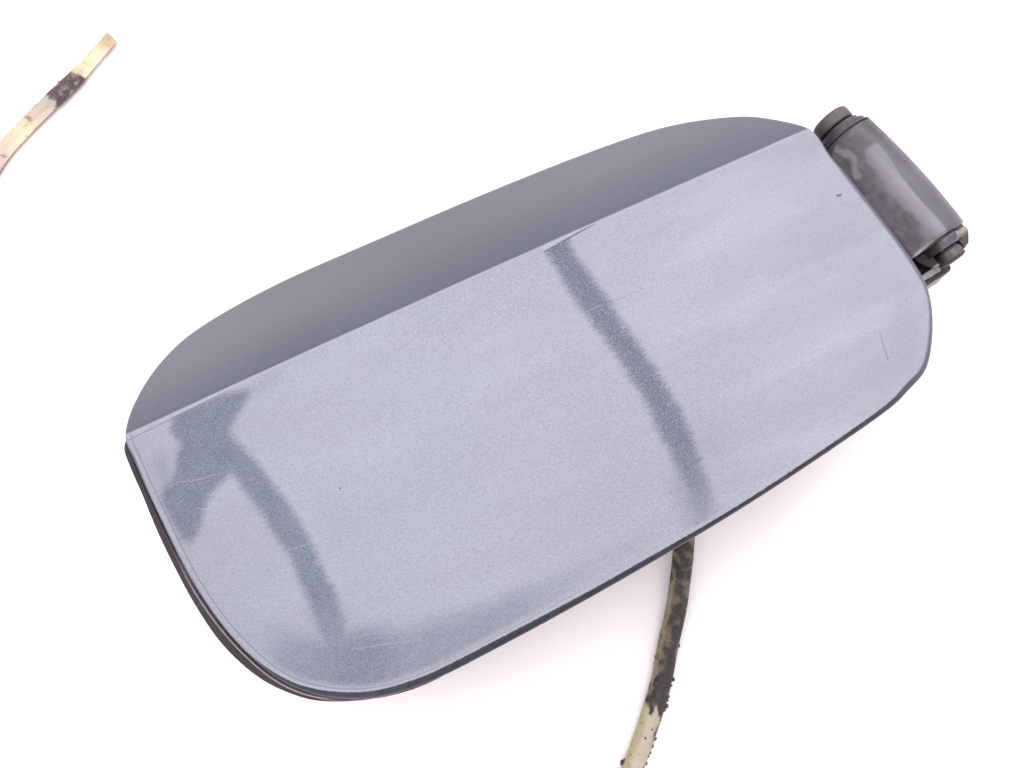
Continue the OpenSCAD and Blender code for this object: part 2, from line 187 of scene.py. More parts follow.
def sweep_frames(L):
    t = np.gradient(L, axis=0)
    t /= np.linalg.norm(t, axis=1)[:, None]
    u = np.cross(t, np.array([0, 0, 1.0]))
    u /= np.linalg.norm(u, axis=1)[:, None]
    v = np.cross(u, t)
    return t, u, v


def make_hose():
    n = 28
    t, u, v = sweep_frames(hose_line)
    k = len(hose_line)
    ang = np.linspace(0, 2 * math.pi, n, endpoint=False)
    R = HOSE_D / 2 - 0.06
    verts, ss, aa, flank_ = [], [], [], []
    s_end = HOSE_L
    for i in range(k):
        s = hose_s[i]
        c, uu, vv = hose_line[i], u[i], v[i]
        for a in ang:
            # slightly uneven rubber, squeezed a little where it bends
            w = noise.noise(Vector((s * 0.05, 3.1, math.cos(a)))) * 0.10
            w += noise.noise(Vector((s * 0.35 + 9, math.sin(a) * 0.9, math.cos(a) * 0.9))) * 0.05
            r = (R - 0.02 + w) * (1 - 0.05 * float(smoothstep(590, 625, s))) * (1 - 0.23 * float(smoothstep(652, 681, s)))
            verts.append(c + r * (math.cos(a) * uu + math.sin(a) * vv))
            ss.append(s)
            aa.append(a)
            flank_.append(float(np.dot(math.cos(a) * uu + math.sin(a) * vv, RIGHT)))
    faces = grid_faces(k, n)
    # bare cut end: rounded lip, then the bore going back in
    base = len(verts)
    c, tt, uu, vv = hose_line[-1], t[-1], u[-1], v[-1]
    E_ = 0.73 * (R - 0.02)
    lip = [(E_, 0.0), (E_ - 0.15, 0.12), (E_ - 0.45, 0.05), (E_ - 0.75, -0.1), (E_ - 0.9, -0.4), (E_ - 0.95, -2), (E_ - 0.95, -9)]
    for j, (r, d) in enumerate(lip[1:]):
        for a in ang:
            cut = 0.25 * math.sin(a + 0.6)
            verts.append(c + (d + cut * (1 if j < 3 else 0.4)) * tt * 0.8 + r * (math.cos(a) * uu + math.sin(a) * vv))
            ss.append(s_end + d)
            aa.append(a)
            flank_.append(float(np.dot(math.cos(a) * uu + math.sin(a) * vv, RIGHT)))
    last = (k - 1) * n
    for i in range(n):
        faces.append((last + i, last + (i + 1) % n, base + (i + 1) % n, base + i))
    faces += grid_faces(len(lip) - 1, n, offset=base)
    tail = base + (len(lip) - 2) * n
    faces.append(tuple(tail + i for i in range(n)))
    faces.append(tuple(reversed(range(n))))
    ss, aa = np.array(ss), np.array(aa)
    # grime: thick and patchy where it leaves the lid, denser on the right flank, one patch near the free end
    pn = np.column_stack([ss * 0.11, np.cos(aa) * 0.9, np.sin(aa) * 0.9])
    n1 = nz(pn, 1.0, 3.0)
    n2 = nz(pn * 2.6, 1.0, 8.0)
    flank = np.array(flank_)
    n3 = nz(np.column_stack([ss * 0.34, np.cos(aa) * 1.2, np.sin(aa) * 1.2]), 1.0, 5.0)
    mid_ = 0.24 - 0.50 * np.abs(flank - 0.02) ** 1.6
    low_ = 0.08 + 0.26 * np.clip(flank, -1, 0.6)
    q = smoothstep(36, 48, ss)
    first = smoothstep(75, 69, ss + 4.0 * n2) * (0.47 + mid_ * (1 - q) + low_ * q + 0.26 * n1 + 0.50 * n3)
    first += 0.30 * smoothstep(74, 69, ss + 3 * n2) * smoothstep(55, 61, ss) * smoothstep(-0.85, -0.5, flank)
    patch = smoothstep(646, 649.5, ss + 2 * n1) * smoothstep(665.5, 662, ss - 2.0 * flank + 1.4 * n2) * (0.72 + 0.3 * n2)
    rest = 0.24 + 0.30 * n1 * n2 + 0.12 * n1 + 0.20 * smoothstep(0.5, 0.9, flank) * smoothstep(130, 90, ss)
    grime = np.maximum(np.maximum(first, patch), rest)
    verts = inside(verts)
    ob = mesh_object("hose", verts, faces, attrs={"along": ss * MM, "flank": flank, "grime": grime})
    clean_normals(ob)
    return ob


hose = make_hose()
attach(hose, "housing")
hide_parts("drain_hose")


# ---------------------------------------------------------------------------
# stage and light
# ---------------------------------------------------------------------------
def nodes_of(mat):
    mat.use_nodes = True
    nt = mat.node_tree
    nt.nodes.clear()
    out = nt.nodes.new("ShaderNodeOutputMaterial")
    bsdf = nt.nodes.new("ShaderNodeBsdfPrincipled")
    nt.links.new(bsdf.outputs[0], out.inputs[0])
    return nt, bsdf


floor_me = bpy.data.meshes.new("stage_floor")
S_ = 3.0
floor_me.from_pydata([(-S_, -S_, 0), (S_, -S_, 0), (S_, S_, 0), (-S_, S_, 0)], [], [(0, 1, 2, 3)])
floor = bpy.data.objects.new("stage_floor", floor_me)
scene.collection.objects.link(floor)
fm = bpy.data.materials.new("stage_floor")
nt, b = nodes_of(fm)
b.inputs["Base Color"].default_value = (0.95, 0.885, 0.915, 1)
b.inputs["Roughness"].default_value = 0.9
b.inputs["Specular IOR Level"].default_value = 0.2
floor_me.materials.append(fm)

world = bpy.data.worlds.new("world")
scene.world = world
world.use_nodes = True
wn = world.node_tree
wn.nodes.clear()
wo = wn.nodes.new("ShaderNodeOutputWorld")
wb = wn.nodes.new("ShaderNodeBackground")
wb.inputs[0].default_value = (1.0, 0.985, 1.0, 1)
wb.inputs[1].default_value = 1.02
wn.links.new(wb.outputs[0], wo.inputs[0])


def area(name, loc, target, size, power, color=(1, 1, 1)):
    l = bpy.data.lights.new(name, "AREA")
    l.shape = "RECTANGLE"
    l.size, l.size_y = size
    l.energy = power
    l.color = color
    o = bpy.data.objects.new(name, l)
    scene.collection.objects.link(o)
    o.location = loc
    d = Vector(target) - Vector(loc)
    o.rotation_euler = d.to_track_quat("-Z", "Y").to_euler()
    o.visible_camera = False
    return o


area("soft_top", (0.10, 0.04, 1.08), (0.06, 0.01, 0.03), (1.0, 1.0), 8.0)
area("soft_right", (1.05, 0.95, 1.15), (0.0, 0.0, 0.03), (0.7, 0.7), 10.6)


# ---------------------------------------------------------------------------
# node shorthand
# ---------------------------------------------------------------------------
class G:
    """small helper round a material's node tree"""

    def __init__(self, name):
        self.mat = bpy.data.materials.new(name)
        self.nt, self.bsdf = nodes_of(self.mat)
        self.tc = self.nt.nodes.new("ShaderNodeTexCoord")

    def n(self, kind, **props):
        x = self.nt.nodes.new(kind)
        for k, v in props.items():
            setattr(x, k, v)
        return x

    def link(self, a, b):
        self.nt.links.new(a, b)

    def set(self, sock, val):
        if hasattr(val, "links") or isinstance(val, bpy.types.NodeSocket):
            self.link(val, sock)
        else:
            if isinstance(val, (tuple, list)) and len(val) == 3 and sock.type == "RGBA":
                val = (*val, 1)
            sock.default_value = val

    @property
    def obj(self):
        return self.tc.outputs["Object"]

    def noise(self, scale, detail=3, rough=0.55, vec=None, distort=0.0, dim="3D"):
        x = self.n("ShaderNodeTexNoise", noise_dimensions=dim)
        self.link(vec or self.obj, x.inputs["Vector"])
        x.inputs["Scale"].default_value = scale
        x.inputs["Detail"].default_value = detail
        x.inputs["Roughness"].default_value = rough
        x.inputs["Distortion"].default_value = distort
        return x.outputs["Fac"]

    def math(self, op, a, b=None, c=None, clamp=False):
        x = self.n("ShaderNodeMath", operation=op)
        x.use_clamp = clamp
        self.set(x.inputs[0], a)
        if b is not None:
            self.set(x.inputs[1], b)
        if c is not None:
            self.set(x.inputs[2], c)
        return x.outputs[0]

    def mapr(self, v, a0, a1, b0=0.0, b1=1.0, smooth=False):
        x = self.n("ShaderNodeMapRange")
        if smooth:
            x.interpolation_type = "SMOOTHSTEP"
        self.set(x.inputs["Value"], v)
        x.inputs["From Min"].default_value = a0
        x.inputs["From Max"].default_value = a1
        x.inputs["To Min"].default_value = b0
        x.inputs["To Max"].default_value = b1
        return x.outputs["Result"]

    def mix(self, f, a, b, mode="MIX"):
        x = self.n("ShaderNodeMix", data_type="RGBA", blend_type=mode)
        self.set(x.inputs["Factor"], f)
        ins = [s for s in x.inputs if s.type == "RGBA"]
        self.set(ins[0], a)
        self.set(ins[1], b)
        outs = [s for s in x.outputs if s.type == "RGBA"]
        return outs[0]

    def vmath(self, op, a, b=None):
        x = self.n("ShaderNodeVectorMath", operation=op)
        self.set(x.inputs[0], a)
        if b is not None:
            self.set(x.inputs[1], b)
        return x.outputs["Value"] if op in ("DOT_PRODUCT", "LENGTH") else x.outputs["Vector"]

    def ramp(self, f, stops):
        x = self.n("ShaderNodeValToRGB")
        e = x.color_ramp.elements
        e[0].position, e[0].color = stops[0][0], (*stops[0][1], 1)
        e[1].position, e[1].color = stops[-1][0], (*stops[-1][1], 1)
        for p_, c_ in stops[1:-1]:
            k = e.new(p_)
            k.color = (*c_, 1)
        self.link(f, x.inputs[0])
        return x.outputs[0]

    def pulse(self, v, centre, half):
        """1 at centre, 0 beyond half on both sides"""
        d = self.math("ABSOLUTE", self.math("SUBTRACT", v, centre))
        return self.mapr(d, half, half * 0.3)

    def attr(self, name):
        x = self.n("ShaderNodeAttribute", attribute_name=name)
        return x.outputs["Fac"]

    def mapping(self, scale=(1, 1, 1), rot=(0, 0, 0), loc=(0, 0, 0)):
        x = self.n("ShaderNodeMapping")
        self.link(self.obj, x.inputs["Vector"])
        x.inputs["Scale"].default_value = scale
        x.inputs["Rotation"].default_value = rot
        x.inputs["Location"].default_value = loc
        return x.outputs[0]

    def bump(self, height, strength=0.3, dist=0.0002, normal=None):
        x = self.n("ShaderNodeBump")
        x.inputs["Strength"].default_value = strength
        x.inputs["Distance"].default_value = dist
        self.set(x.inputs["Height"], height)
        if normal is not None:
            self.link(normal, x.inputs["Normal"])
        return x.outputs[0]

    def out(self, **kw):
        for k, v in kw.items():
            self.set(self.bsdf.inputs[k.replace("_", " ")], v)
        return self.mat


def lin(r, g, b):
    """display colour 0..255 to linear"""
    def f(x):
        x /= 255.0
        return x / 12.92 if x <= 0.04045 else ((x + 0.055) / 1.055) ** 2.4
    return (f(r), f(g), f(b))


# ---------------------------------------------------------------------------
# lid skin
# ---------------------------------------------------------------------------
def crease(x):
    return 37.25 - 0.0033 * (x + 5)


LID = [(-120.8, crease(-120.8)), (-116.4, 48.2), (-105.9, 58.3), (-89.9, 64.8),
       (-60, 67.5), (-20, 66.4), (20, 64.8), (54, 62.4), (74.9, 59.2), (92.2, 52.7),
       (101.6, 46), (108.9, crease(108.9)), (110.5, 26.7), (112.7, 16), (116.7, -9.8),
       (115.7, -22.6), (108.3, -36.4), (100.1, -41.6), (88.24, -45.53), (49.93, -53.53),
       (10, -59.8), (-30, -64.7), (-56, -66.6), (-75.3, -63.6), (-92.7, -53.7),
       (-104.2, -37.5), (-112.2, -16), (-117.1, 10), (-119.9, 28)]
# width of the clean dark band along the rolled edge, how much painted reflection lightens it, and how clearly the
# groove inside it shows with its painted shade and painted highlight lines, at each point of LID
BAND = [0.9, 0, 0, 0, 0, 0, 0, 0, 0, 0, 0, 0.35, 1.1, 1.75, 1.7, 1.35, 1.65, 1.7, 1.3, 1.15, 1.6, 2.05, 2.1, 2.05, 1.65, 0.8, 1.15, 1.1, 1.35]
RIM_REFLECTION = [.6, 1, 1, 1, 1, 1, 1, 1, 1, 1, 1, 1, .95, .9, .9, .95, .75, .45, .1, 0, 0, 0, .05, .1, .08, .3, .62, .95, .5]
LINE = [.8, 0, 0, 0, 0, 0, 0, 0, 0, 0, 0, 0, 0, 0, 0, 0, 0, 0, 0, .1, .2, .3, .5, .8, 1, 1, 1, 1, 1]


# how the dust thins out along the lower edge: how much, and how far in (mm)
THIN = [0, 0, 0, 0, 0, 0, 0, 0, 0, 0, 0, 0, 0, 0, 0, .06, .08, .06, 0, 0, .12, .56, .62, .90, .62, .06, 0, 0, 0]
REACH = [14, 14, 14, 14, 14, 14, 14, 14, 14, 14, 14, 14, 14, 14, 14, 14, 14, 14, 12, 12, 12, 15, 20, 24, 20, 14, 14, 14, 14]
# patches that are a little cleaner or dustier: x, y, half sizes, how much lighter
TONE = [(-18, 17, 46, 20, 0.050), (-52, 0, 14, 10, 0.035), (80, -18, 24, 10, 0.060), (72, 17, 22, 7, 0.045), (102, 27, 14, 11, -0.055), (104, -3, 9, 11, -0.035), (-8, 10, 50, 26, 0.012), (0, 46, 100, 7, -0.030), (-35, -33, 26, 8, 0.035),
        (4, 43, 22, 8, -0.075), (-57, 41, 13, 5, -0.045), (0, 56, 22, 7, -0.045), (52, 57, 12, 6, 0.030), (-72, -12, 5, 16, 0.050), (100, -2, 8, 12, -0.02), (-109, 22, 6, 9, -0.02), (92, -44, 20, 6, 0.02)]


def face_z(x, y):
    d = y - crease(x)
    return 62 - 2 * ((x + 3) / 115) ** 2 - np.where(d < 0, 5 * (d / 104) ** 2, 0.30 * d)


def soft_face_z(x, y, r=1.0):
    """the face with the crease rounded over about 2r"""
    d = y - crease(x)
    k = np.clip(1 - np.abs(d) / r, 0, 1)
    return face_z(x, y) - 0.30 * r * 0.25 * k * k


def outline(per):
    L = closed_curve(LID, per)
    n = len(L)
    t = np.roll(L, -1, 0) - np.roll(L, 1, 0)
    t /= np.linalg.norm(t, axis=1)[:, None]
    nrm = np.stack([-t[:, 1], t[:, 0]], 1)
    # the outward direction turns to the crease's own at the crease's ends
    cu = np.array([1.0, -0.0033])
    idx = np.arange(n)
    for i0, d in ((0, -cu), (11 * per, cu)):
        dist = np.minimum((idx - i0) % n, (i0 - idx) % n)
        w = np.clip(1 - dist / 3.0, 0, 1)[:, None]
        nrm = nrm * (1 - w) + d * w
    nrm /= np.linalg.norm(nrm, axis=1)[:, None]
    # the edge beyond the crease is rolled a little tighter
    i = idx / per
    tight = 0.08 + 0.27 * smoothstep(0.2, 1.2, i) * smoothstep(11.0, 10.2, i)
    return L - tight[:, None] * nrm, nrm


def along_outline(vals, per):
    """values at LID's points, smoothly spread over the outline"""
    v = np.array(vals, float)
    i = np.arange(len(v) * per) / per
    a = i.astype(int) % len(v)
    f = i - i.astype(int)
    f = f * f * (3 - 2 * f)
    return v[a] * (1 - f) + v[(a + 1) % len(v)] * f


PER = 16
OUT_L, OUT_N = outline(PER)
N_OUT = len(OUT_L)
MID = np.array([-5.0, crease(-5.0)])


def make_lid():
    L, nrm, n = OUT_L, OUT_N, N_OUT
    R = 1.92
    P_in = L - nrm * R
    z_in = soft_face_z(P_in[:, 0], P_in[:, 1])
    verts, ins, part = [], [], []
    scales = list(np.linspace(0.01, 0.90, 60)) + list(np.linspace(0.905, 1.0, 24))
    for s in scales:
        q = MID + s * (P_in - MID)
        verts.append(np.column_stack([q, soft_face_z(q[:, 0], q[:, 1])]))
        part.append(0)
    for a in np.radians([11, 22, 33, 44, 55, 66, 77, 90]):
        q = L - nrm * (R - R * math.sin(a))
        verts.append(np.column_stack([q, z_in - R * (1 - math.cos(a))]))
        part.append(0)
    # turned-in edge with its hem
    hem = [(0.0, 2.6), (0.0, 3.6), (0.0, 4.6), (0.05, 5.2), (0.2, 5.62), (0.42, 5.84), (0.65, 5.84), (0.86, 5.66), (0.98, 5.3), (1.0, 4.4), (1.0, 3.2), (1.05, 2.5)]
    for d, dz in hem:
        q = L - nrm * d
        verts.append(np.column_stack([q, z_in - dz]))
        part.append(1 if dz < 5.3 and d < 0.3 else 2)
    for s, d, dz in ((1.0, 2.4, 1.3), (1.0, 3.0, 1.02), (0.93, 2.4, 1.0), (0.85, 2.4, 1.0), (0.7, 2.4, 1.0), (0.5, 2.4, 1.0), (0.25, 2.4, 1.0), (0.01, 2.4, 1.0)):
        q = MID + s * ((L - nrm * d) - MID)
        verts.append(np.column_stack([q, face_z(q[:, 0], q[:, 1]) - dz]))
        part.append(3)
    k = len(verts)
    V = np.concatenate(verts)
    nf = len(scales)
    top = slice(0, nf * n)
    pts = V[top]
    # low waviness of a pressed sheet
    wav = nz(np.column_stack([pts[:, :2], np.zeros(len(pts))]), 0.02, 1.7) * 0.09
    edge = np.repeat(np.array(scales), n)
    V[top, 2] = pts[:, 2] + (wav - 0.09) * smoothstep(1.0, 0.9, edge)
    # shallow groove just inside the edge on the latch side
    line_w = np.tile(along_outline(LINE, PER), nf)
    din = poly_dist(pts[:, :2], L)
    V[top, 2] -= 0.10 * line_w * np.exp(-((din - 3.0) / 0.35) ** 2)
    faces = grid_faces(k, n)
    faces.append(tuple(reversed(range(n))))
    faces.append(tuple((k - 1) * n + i for i in range(n)))
    return V, faces, np.repeat(np.array(part, float), n)


def poly_dist(pts, poly):
    """signed distance (inside positive) of points to a closed polygon"""
    P = np.array(poly, float)
    Q = np.roll(P, -1, 0)
    d = np.full(len(pts), 1e9)
    inside = np.zeros(len(pts), bool)
    for a, b in zip(P, Q):
        ab = b - a
        t_ = np.clip(((pts - a) @ ab) / (ab @ ab), 0, 1)
        d = np.minimum(d, np.linalg.norm(pts - (a + t_[:, None] * ab), axis=1))
        cond = (a[1] > pts[:, 1]) != (b[1] > pts[:, 1])
        xs = a[0] + (pts[:, 1] - a[1]) / (b[1] - a[1] + 1e-12) * (b[0] - a[0])
        inside ^= cond & (pts[:, 0] < xs)
    return np.where(inside, d, -d)


def line_dist(pts, pl):
    P = np.array(pl, float)
    d = np.full(len(pts), 1e9)
    for a, b in zip(P[:-1], P[1:]):
        ab = b - a
        t_ = np.clip(((pts - a) @ ab) / (ab @ ab), 0, 1)
        d = np.minimum(d, np.linalg.norm(pts - (a + t_[:, None] * ab), axis=1))
    return d


LV, LF, LPART = make_lid()
LK = len(LV) // N_OUT

# places where the dust has been wiped off, in mm on the lid
WIPE_1 = [(24.6, 48), (25.4, 36), (26.5, 29.6), (26.8, 24), (28.1, 18), (30, 9.2), (32.2, 0.4), (33.6, -8), (34.7, -15.2), (35, -22), (35, -28.5), (35.2, -34.4),
          (34.9, -40.7), (34.3, -47), (34, -52), (39.6, -52), (41.1, -44.8), (41.5, -39.4), (41.9, -33.9), (42.1, -28.2), (42.1, -22.5), (41.1, -15.4), (40.1, -8.3),
          (39.1, -1), (37.4, 6.7), (36.4, 14.2), (34.8, 21.6), (33.4, 28.3), (32.6, 36), (32, 48)]
WIPE_2 = [(-101, 37.2), (-94, 36.9), (-86.5, 36.4), (-80.5, 35.2), (-75.5, 33.6), (-78.7, 30), (-83.4, 26.5), (-85.3, 23.5), (-83.3, 18.2), (-80, 10.9), (-77.3, 4),
          (-75.1, -2.7), (-73.7, -9.5), (-72.1, -15.8), (-71.5, -21.7), (-70.8, -27), (-70.1, -32.3), (-69.7, -37.4), (-69.6, -42.4), (-70.4, -47), (-71, -54),
          (-79, -52), (-78.9, -43.9), (-78.3, -39.2), (-78.4, -34.1), (-78.7, -29), (-79.1, -22.8), (-79.9, -17.4), (-81.9, -10.4), (-83.6, -2.5), (-86.6, 5.1),
          (-89.0, 11.6), (-90.8, 11.6), (-95.3, 9.6), (-99.4, 7.1), (-102.5, 3), (-105.2, -0.7), (-108.0, -2.8), (-110, -2.6), (-111.6, 1.2), (-113, 7.2),
          (-113.9, 11.8), (-113.2, 15.9), (-109.7, 17.2), (-107, 19.9), (-104.4, 24.3), (-102.5, 27.8), (-104, 32)]
xy = LV[:, :2]
wipe = np.maximum(poly_dist(xy, closed_curve(WIPE_1, 4)), poly_dist(xy, closed_curve(WIPE_2, 4)))
edge_in = poly_dist(xy, OUT_L)
band_w = np.tile(along_outline(BAND, PER), LK)
x_, y_ = xy[:, 0], xy[:, 1]
t_amp = np.tile(along_outline(THIN, PER), LK)
t_out = np.tile(along_outline(REACH, PER), LK)
low = nz(np.column_stack([x_, y_, 0 * x_]), 0.11, 4.2)
e_ = edge_in + 1.6 * low
thin = t_amp * smoothstep(2.8, 5.2, edge_in) * smoothstep(t_out, 0.55 * t_out, e_)
thin = np.maximum(thin, 0.10 * np.exp(-(line_dist(xy, [(46, -30), (47, -44)]) / 4.5) ** 2))
thin = np.maximum(thin, 0.20 * np.exp(-(line_dist(xy, [(-74, 33), (-66, 34.5)]) / 2.6) ** 2))
thin = np.maximum(thin, 0.30 * np.exp(-(line_dist(xy, [(-109, 12), (-111, 24)]) / 3.0) ** 2))
thin = np.maximum(thin, 0.62 * np.exp(-(line_dist(xy, [(-75, -40), (-73, -52)]) / 4.6) ** 2) * smoothstep(2.8, 5.2, edge_in))
thin = np.maximum(thin, 0.46 * np.exp(-(line_dist(xy, [(37, -42), (36, -52)]) / 4.6) ** 2) * smoothstep(1.6, 3.0, edge_in))
tone = np.ones(len(xy))
for tx, ty, rx, ry, k in TONE:
    tone += k * np.exp(-0.5 * (((x_ - tx) / rx) ** 2 + ((y_ - ty) / ry) ** 2) ** 1.3)
lid = mesh_object("lid_outer_skin", LV, LF, attrs={
    "wipe": wipe, "edge": edge_in, "rim": edge_in - band_w, "rimlight": np.tile(along_outline(RIM_REFLECTION, PER), LK),
    "rimline": np.tile(along_outline(LINE, PER), LK), "thin": np.clip(thin, 0, 1), "tone": tone, "part": LPART})
clean_normals(lid)
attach(lid, "lid")
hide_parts("lid_skin")


def seg_dist(g, P, pts):
    """distance in mm from the shading point to a polyline on the lid"""
    best = None
    for a, b in zip(pts[:-1], pts[1:]):
        u = (b[0] - a[0], b[1] - a[1], 0)
        l2 = u[0] ** 2 + u[1] ** 2
        d = g.vmath("SUBTRACT", P, (a[0], a[1], 0))
        t = g.math("MULTIPLY", g.vmath("DOT_PRODUCT", d, (u[0] / l2, u[1] / l2, 0)), 1.0, clamp=True)
        q = g.n("ShaderNodeVectorMath", operation="SCALE")
        q.inputs[0].default_value = u
        g.link(t, q.inputs["Scale"])
        e = g.vmath("LENGTH", g.vmath("SUBTRACT", d, q.outputs[0]))
        best = e if best is None else g.math("MINIMUM", best, e)
    return best


def lid_material():
    g = G("dusty_lid_paint")
    Pm = g.vmath("MULTIPLY", g.obj, (1000, 1000, 0))
    sep = g.n("ShaderNodeSeparateXYZ")
    g.link(Pm, sep.inputs[0])
    X, Y = sep.outputs[0], sep.outputs[1]
    D = g.math("ADD", Y, g.math("MULTIPLY_ADD", X, 0.0033, -37.2335))
    mid = g.noise(90, 4, 0.6)
    fine = g.noise(1500, 2, 0.6)
    grain = g.noise(1900, 1, 0.6)
    grain2 = g.noise(3100, 1, 0.6, vec=g.mapping(loc=(3.1, 1.7, 0.4)))
    grain3 = g.noise(4700, 1, 0.5, vec=g.mapping(loc=(0.7, 5.1, 2.2)))
    feather = g.noise(1300, 3, 0.6, vec=g.mapping(scale=(0.2, 1, 1), rot=(0, 0, math.radians(7))))
    # dust over the large face
    dust = g.mix(g.mapr(X, -40, 100), lin(193, 195, 211), lin(197, 196, 213))
    dust = g.mix(g.mapr(X, -118, -96, 0.6, 0), dust, lin(183, 181, 199))
    dust = g.mix(g.mapr(g.noise(16, 3, 0.5), 0.36, 0.64, 0, 0.7), dust, lin(187, 189, 205))
    smear = g.noise(70, 4, 0.62, vec=g.mapping(scale=(0.2, 1, 1), rot=(0, 0, math.radians(-12))))
    dust = g.mix(g.mapr(smear, 0.42, 0.66, 0, 0.6), dust, lin(184, 185, 202))
    dust = g.mix(g.math("MULTIPLY", g.mapr(smear, 0.5, 0.34, 0, 0.6), g.mapr(X, 20, 70)), dust, lin(205, 205, 219))
    # the painted metal shows where it is wiped, with soft scuffed edges
    clean = g.mix(g.mapr(mid, 0.3, 0.7), lin(128, 133, 156), lin(140, 144, 165))
    # the wiped paint is painted darker towards +X, as shade that offsets the brighter light from the right
    clean = g.mix(g.mapr(X, -10, 30, 0, 1), clean, g.mix(g.mapr(mid, 0.3, 0.7), lin(97, 103, 124), lin(110, 116, 137)))
    w = g.math("ADD", g.attr("wipe"), g.mapr(mid, 0.25, 0.75, -0.7, 0.7))
    w = g.math("ADD", w, g.mapr(feather, 0.3, 0.7, -0.6, 0.6))
    w = g.math("ADD", w, g.mapr(grain, 0.25, 0.75, -1.0, 1.0))
    wm = g.mapr(w, -1.9, 2.0, 0, 1, True)
    wm = g.math("MULTIPLY", wm, g.mapr(Y, -54, -32, 0.42, 1.0))
    tn = g.math("MULTIPLY", g.attr("thin"), g.mapr(g.math("ADD", g.math("MULTIPLY", feather, 0.6), g.math("MULTIPLY", mid, 0.4)), 0.3, 0.7, 0.72, 1.25))
    cover = g.math("MAXIMUM", wm, tn, clamp=True)
    # the strip along the crease keeps its dust and is painted lighter as the highlight of a ridge there
    strip_w = g.mapr(X, -118, -62, 1.6, 0.0)
    strip = g.math("SUBTRACT", 1.0, g.mapr(g.math("ADD", D, strip_w), -0.25, 0.1))
    strip = g.math("SUBTRACT", 1.0, strip)
    strip = g.math("MULTIPLY", strip, g.mapr(X, -62, -66))
    wedge = g.math("MULTIPLY", g.mapr(g.math("ADD", D, g.mapr(X, 25.5, 42, 1.75, 0.2)), -0.12, 0.12), g.math("MULTIPLY", g.mapr(X, 24, 25.5), g.mapr(X, 43, 42)))
    cover = g.math("MULTIPLY", cover, g.math("SUBTRACT", 1.0, g.math("MAXIMUM", strip, wedge)))
    col = g.mix(cover, dust, clean)
    col = g.mix(g.math("MULTIPLY", strip, 0.45), col, lin(206, 203, 221))
    col = g.mix(g.math("MULTIPLY", wedge, 0.55), col, lin(206, 207, 218))
    # narrow face beyond the crease: hardly any dust; its darker tone is partly painted shade of the face tilting away
    # from the light, darker still next to the crease
    fac = g.ramp(g.math("DIVIDE", D, 26.0), [(0.0, lin(116, 119, 136)), (0.08, lin(124, 127, 143)), (0.2, lin(129, 131, 147)), (0.4, lin(138, 139, 152)), (0.62, lin(144, 146, 156)), (1.0, lin(147, 148, 157))])
    fac = g.mix(g.mapr(X, -95, -60), fac, g.mix(1.0, fac, (0.95, 0.945, 0.955), "MULTIPLY"))
    fac = g.mix(g.mapr(g.noise(26, 3, 0.5, vec=g.mapping(scale=(0.35, 1, 1))), 0.35, 0.65, 0, 0.5), fac, g.mix(1.0, fac, (0.93, 0.93, 0.94), "MULTIPLY"))
    facet = g.mapr(D, -0.1, 0.22)
    # painted highlight along the crease itself
    lit = g.math("MULTIPLY", g.pulse(D, -0.05, 0.55), g.mapr(mid, 0.3, 0.7, 0.35, 0.7))
    # dark lines: painted shade below the lit strip and in the groove inside the edge, and fine scratches
    below = g.pulse(g.math("ADD", D, strip_w), -0.32, 0.2)
    dark = g.math("MULTIPLY", below, g.mapr(X, -80, -104, 0, 0.55))
    groove = g.math("MULTIPLY", g.pulse(g.attr("edge"), 2.95, 0.3), g.math("MULTIPLY", g.attr("rimline"), 0.5))
    dark = g.math("MAXIMUM", dark, groove)
    for pts, wd, k in (([(25.3, 35.2), (33, 36.0), (41.5, 36.8)], 0.26, 0.85), 
                       ([(-57.8, -5.9), (-57.5, -5.8)], 0.3, 0.7), ([(99.6, -24.6), (98.4, -31.9)], 0.22, 0.35),
                       ([(106.4, 15.25), (107.1, 15.15)], 0.42, 0.8), ([(36.6, 12.8), (42.5, 12.8), (46.8, 13.0)], 0.2, 0.18)):
        dark = g.math("MAXIMUM", dark, g.math("MULTIPLY", g.mapr(seg_dist(g, Pm, pts), wd * 1.3, wd * 0.5), k))
    col = g.mix(dark, col, lin(96, 100, 120))
    pale = None
    for pts, wd, k in (([(-110, 15.9), (-106.9, 16.4), (-102.7, 14.9), (-97.7, 13.9), (-94.3, 13.7)], 0.24, 0.45), ([(-80, -16.6), (-75.8, -16.9), (-72.4, -17.4)], 0.24, 0.42),
                       ([(-71.3, -50.2), (-61, -52.2), (-50.6, -54.8)], 0.25, 0.35), ([(-66, -47.5), (-54, -51.2)], 0.22, 0.25),
                       ([(29.6, 13.3), (34.8, 13.4)], 0.2, 0.4), ([(-104, 6.5), (-99.5, 4.4)], 0.25, 0.4),
                       ([(-109.5, 9.8), (-106.5, 10.6)], 0.22, 0.35)):
        m_ = g.math("MULTIPLY", g.mapr(seg_dist(g, Pm, pts), wd * 1.3, wd * 0.4), k)
        pale = m_ if pale is None else g.math("MAXIMUM", pale, m_)
    col = g.mix(pale, col, lin(206, 208, 222))
